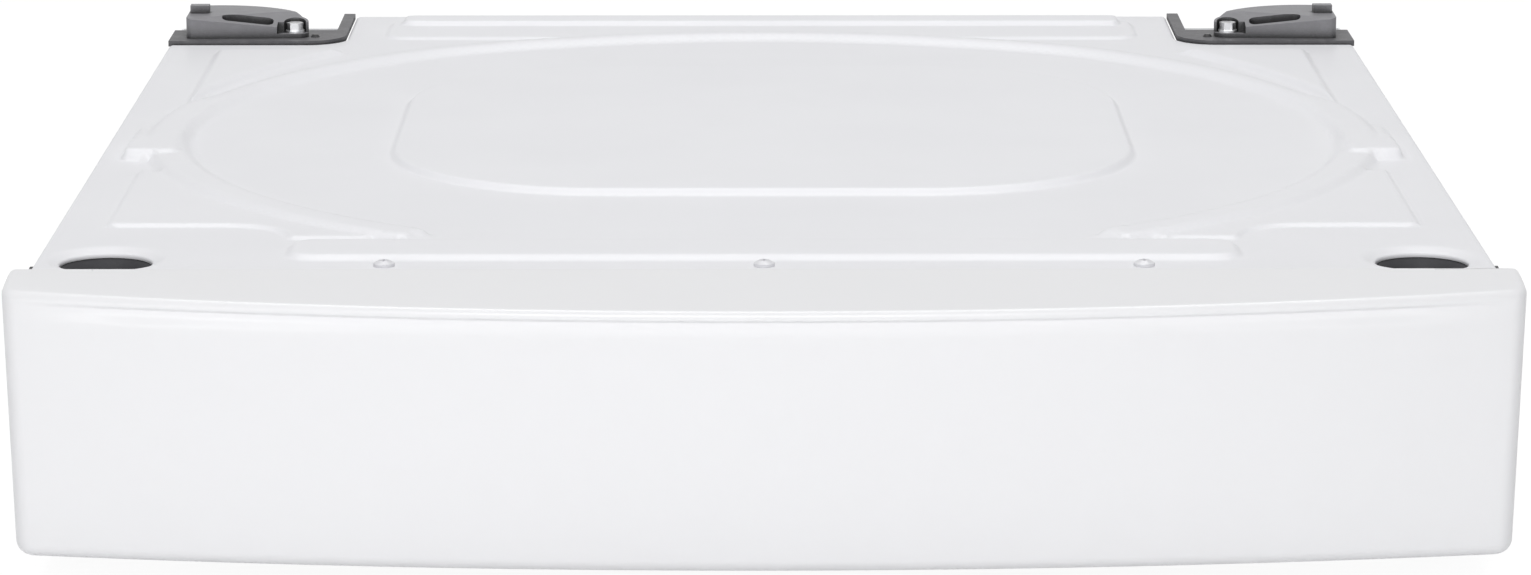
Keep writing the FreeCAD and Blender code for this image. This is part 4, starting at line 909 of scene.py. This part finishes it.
def inward(plan, shift):
    ring = np.array(plan)
    tangent = np.gradient(ring, axis=0)
    tangent /= np.hypot(*tangent.T)[:, None]
    moved = ring + np.column_stack([-tangent[:, 1], tangent[:, 0]]) * shift
    moved[0], moved[-1] = (ring[0][0] + shift, 0.0), (ring[-1][0] - shift, 0.0)
    return moved


def panelTop(x, y):
    form = panelForm
    radius = bowRadius(form["half"], form["bow"])
    depth = form["depth"] + form["bow"] - radius + math.sqrt(radius ** 2 - min(abs(x), form["half"]) ** 2)
    drop = form["drop"] + form["endDrop"] * (x / form["half"]) ** 2
    return form["top"] - drop * min(max(-y / depth, 0.0), 1.0) ** form["crown"]


def rolled(start, middle, end, share):
    a, b, c = (1 - share) ** 2, 2 * panelForm["rollWeight"] * share * (1 - share), share ** 2
    return (np.array(start) * a + np.array(middle) * b + np.array(end) * c) / (a + b + c)


# One column of points for each place along the plan, from the top's roll to the foot's lip.
def panelColumns(topPlan, topShy, toFront):
    form = panelForm
    roll, footRoll, levels = form["roll"], form["footRoll"], form["levels"]
    shares = np.linspace(0, 1, form["rollSteps"] + 1)
    footPlan = panelPlan(form["footHalf"], form["footBow"])
    footShy = inward(footPlan, footRoll)
    columns = []
    for k, forward in enumerate(toFront):
        edge = np.array((*topPlan[k], panelTop(*topPlan[k])))
        foot = np.array((*footPlan[k], form["foot"]))
        down = (foot - edge) / np.linalg.norm(foot - edge)
        high, low = edge + down * roll, foot - down * footRoll
        inwards = np.array((*(topShy[k] - np.array(topPlan[k])), 0.0)) / roll
        column = [rolled((*topShy[k], panelTop(*topShy[k])), edge, high, share) for share in shares]
        for deep in levels[:-1]:
            column.append(high + down * deep + inwards * form["cove"] * coveShare(deep) * forward)
        face = levels[-1] / np.linalg.norm(low - high)
        column += [high + (low - high) * (face + (1 - face) * t / form["rows"]) for t in range(form["rows"])]
        footX, footY = footShy[k]
        column += [rolled(low, foot, (footX, footY, form["foot"]), share) for share in shares]
        lipY = min(footY + (form["footLip"] - footRoll) * forward, 0.0)
        columns.append(column + [(footX, lipY, form["foot"])])
    return columns


def buildPanel():
    form = panelForm
    topPlan = panelPlan(form["half"], form["bow"])
    topShy = inward(topPlan, form["roll"])
    count, ends = len(topPlan), form["topRows"]
    # Zero on the ends and round the corners, one along the front.
    fromEnd = [min(k, count - 1 - k) - ends - form["cornerSteps"] for k in range(count)]
    toFront = [min(max(k / form["lipBlend"], 0.0), 1.0) for k in fromEnd]
    mesh = bmesh.new()

    def at(spot):
        return mesh.verts.new((spot[0] * mm, (form["back"] + spot[1]) * mm, spot[2] * mm))

    def skin(upper, lower):
        for k in range(len(upper) - 1):
            addFace(mesh, [upper[k], lower[k], lower[k + 1], upper[k + 1]])

    shell = [[at(spot) for spot in strip] for strip in zip(*panelColumns(topPlan, topShy, toFront))]
    for upper, lower in zip(shell, shell[1:]):
        skin(upper, lower)
    # The top runs back from the roll to the deck, crowned a little.
    first, last = ends, count - 1 - ends
    bands = [shell[0][first:last + 1]]
    for r in range(1, ends + 1):
        share = 1 - r / ends
        between = [at((x, y * share, panelTop(x, y * share))) for x, y in topShy[first + 1:last]]
        bands.append([shell[0][first - r], *between, shell[0][last + r]])
    for front, back in zip(bands, bands[1:]):
        skin(back, front)
    # Lips turn down behind the top and inwards behind the ends.
    skin([at((v.co.x / mm, 0.0, form["top"] - form["topLip"])) for v in bands[-1]], bands[-1])
    for hand, index in ((-1, 0), (1, count - 1)):
        outer = [strip[index] for strip in shell[:-1]]
        inner = [at((hand * (form["half"] - form["sideLip"]), 0.0, v.co.z / mm)) for v in outer]
        skin(*((inner, outer) if hand < 0 else (outer, inner)))
    bmesh.ops.remove_doubles(mesh, verts=mesh.verts[:], dist=1e-5)
    bmesh.ops.dissolve_degenerate(mesh, edges=mesh.edges[:], dist=1e-6)
    data = finishedMesh(mesh, "bowedPanel", form["crease"],
                        lambda faces: min(faces, key=lambda face: face.calc_center_median().y).normal.y < 0)
    panel = newPiece("bowedPanel", data, "white_panel", "chassis", "front_panel")
    modify(panel, "wall", "SOLIDIFY", thickness=form["wall"] * mm, offset=-1.0)


buildPanel()
print("front panel bowed")
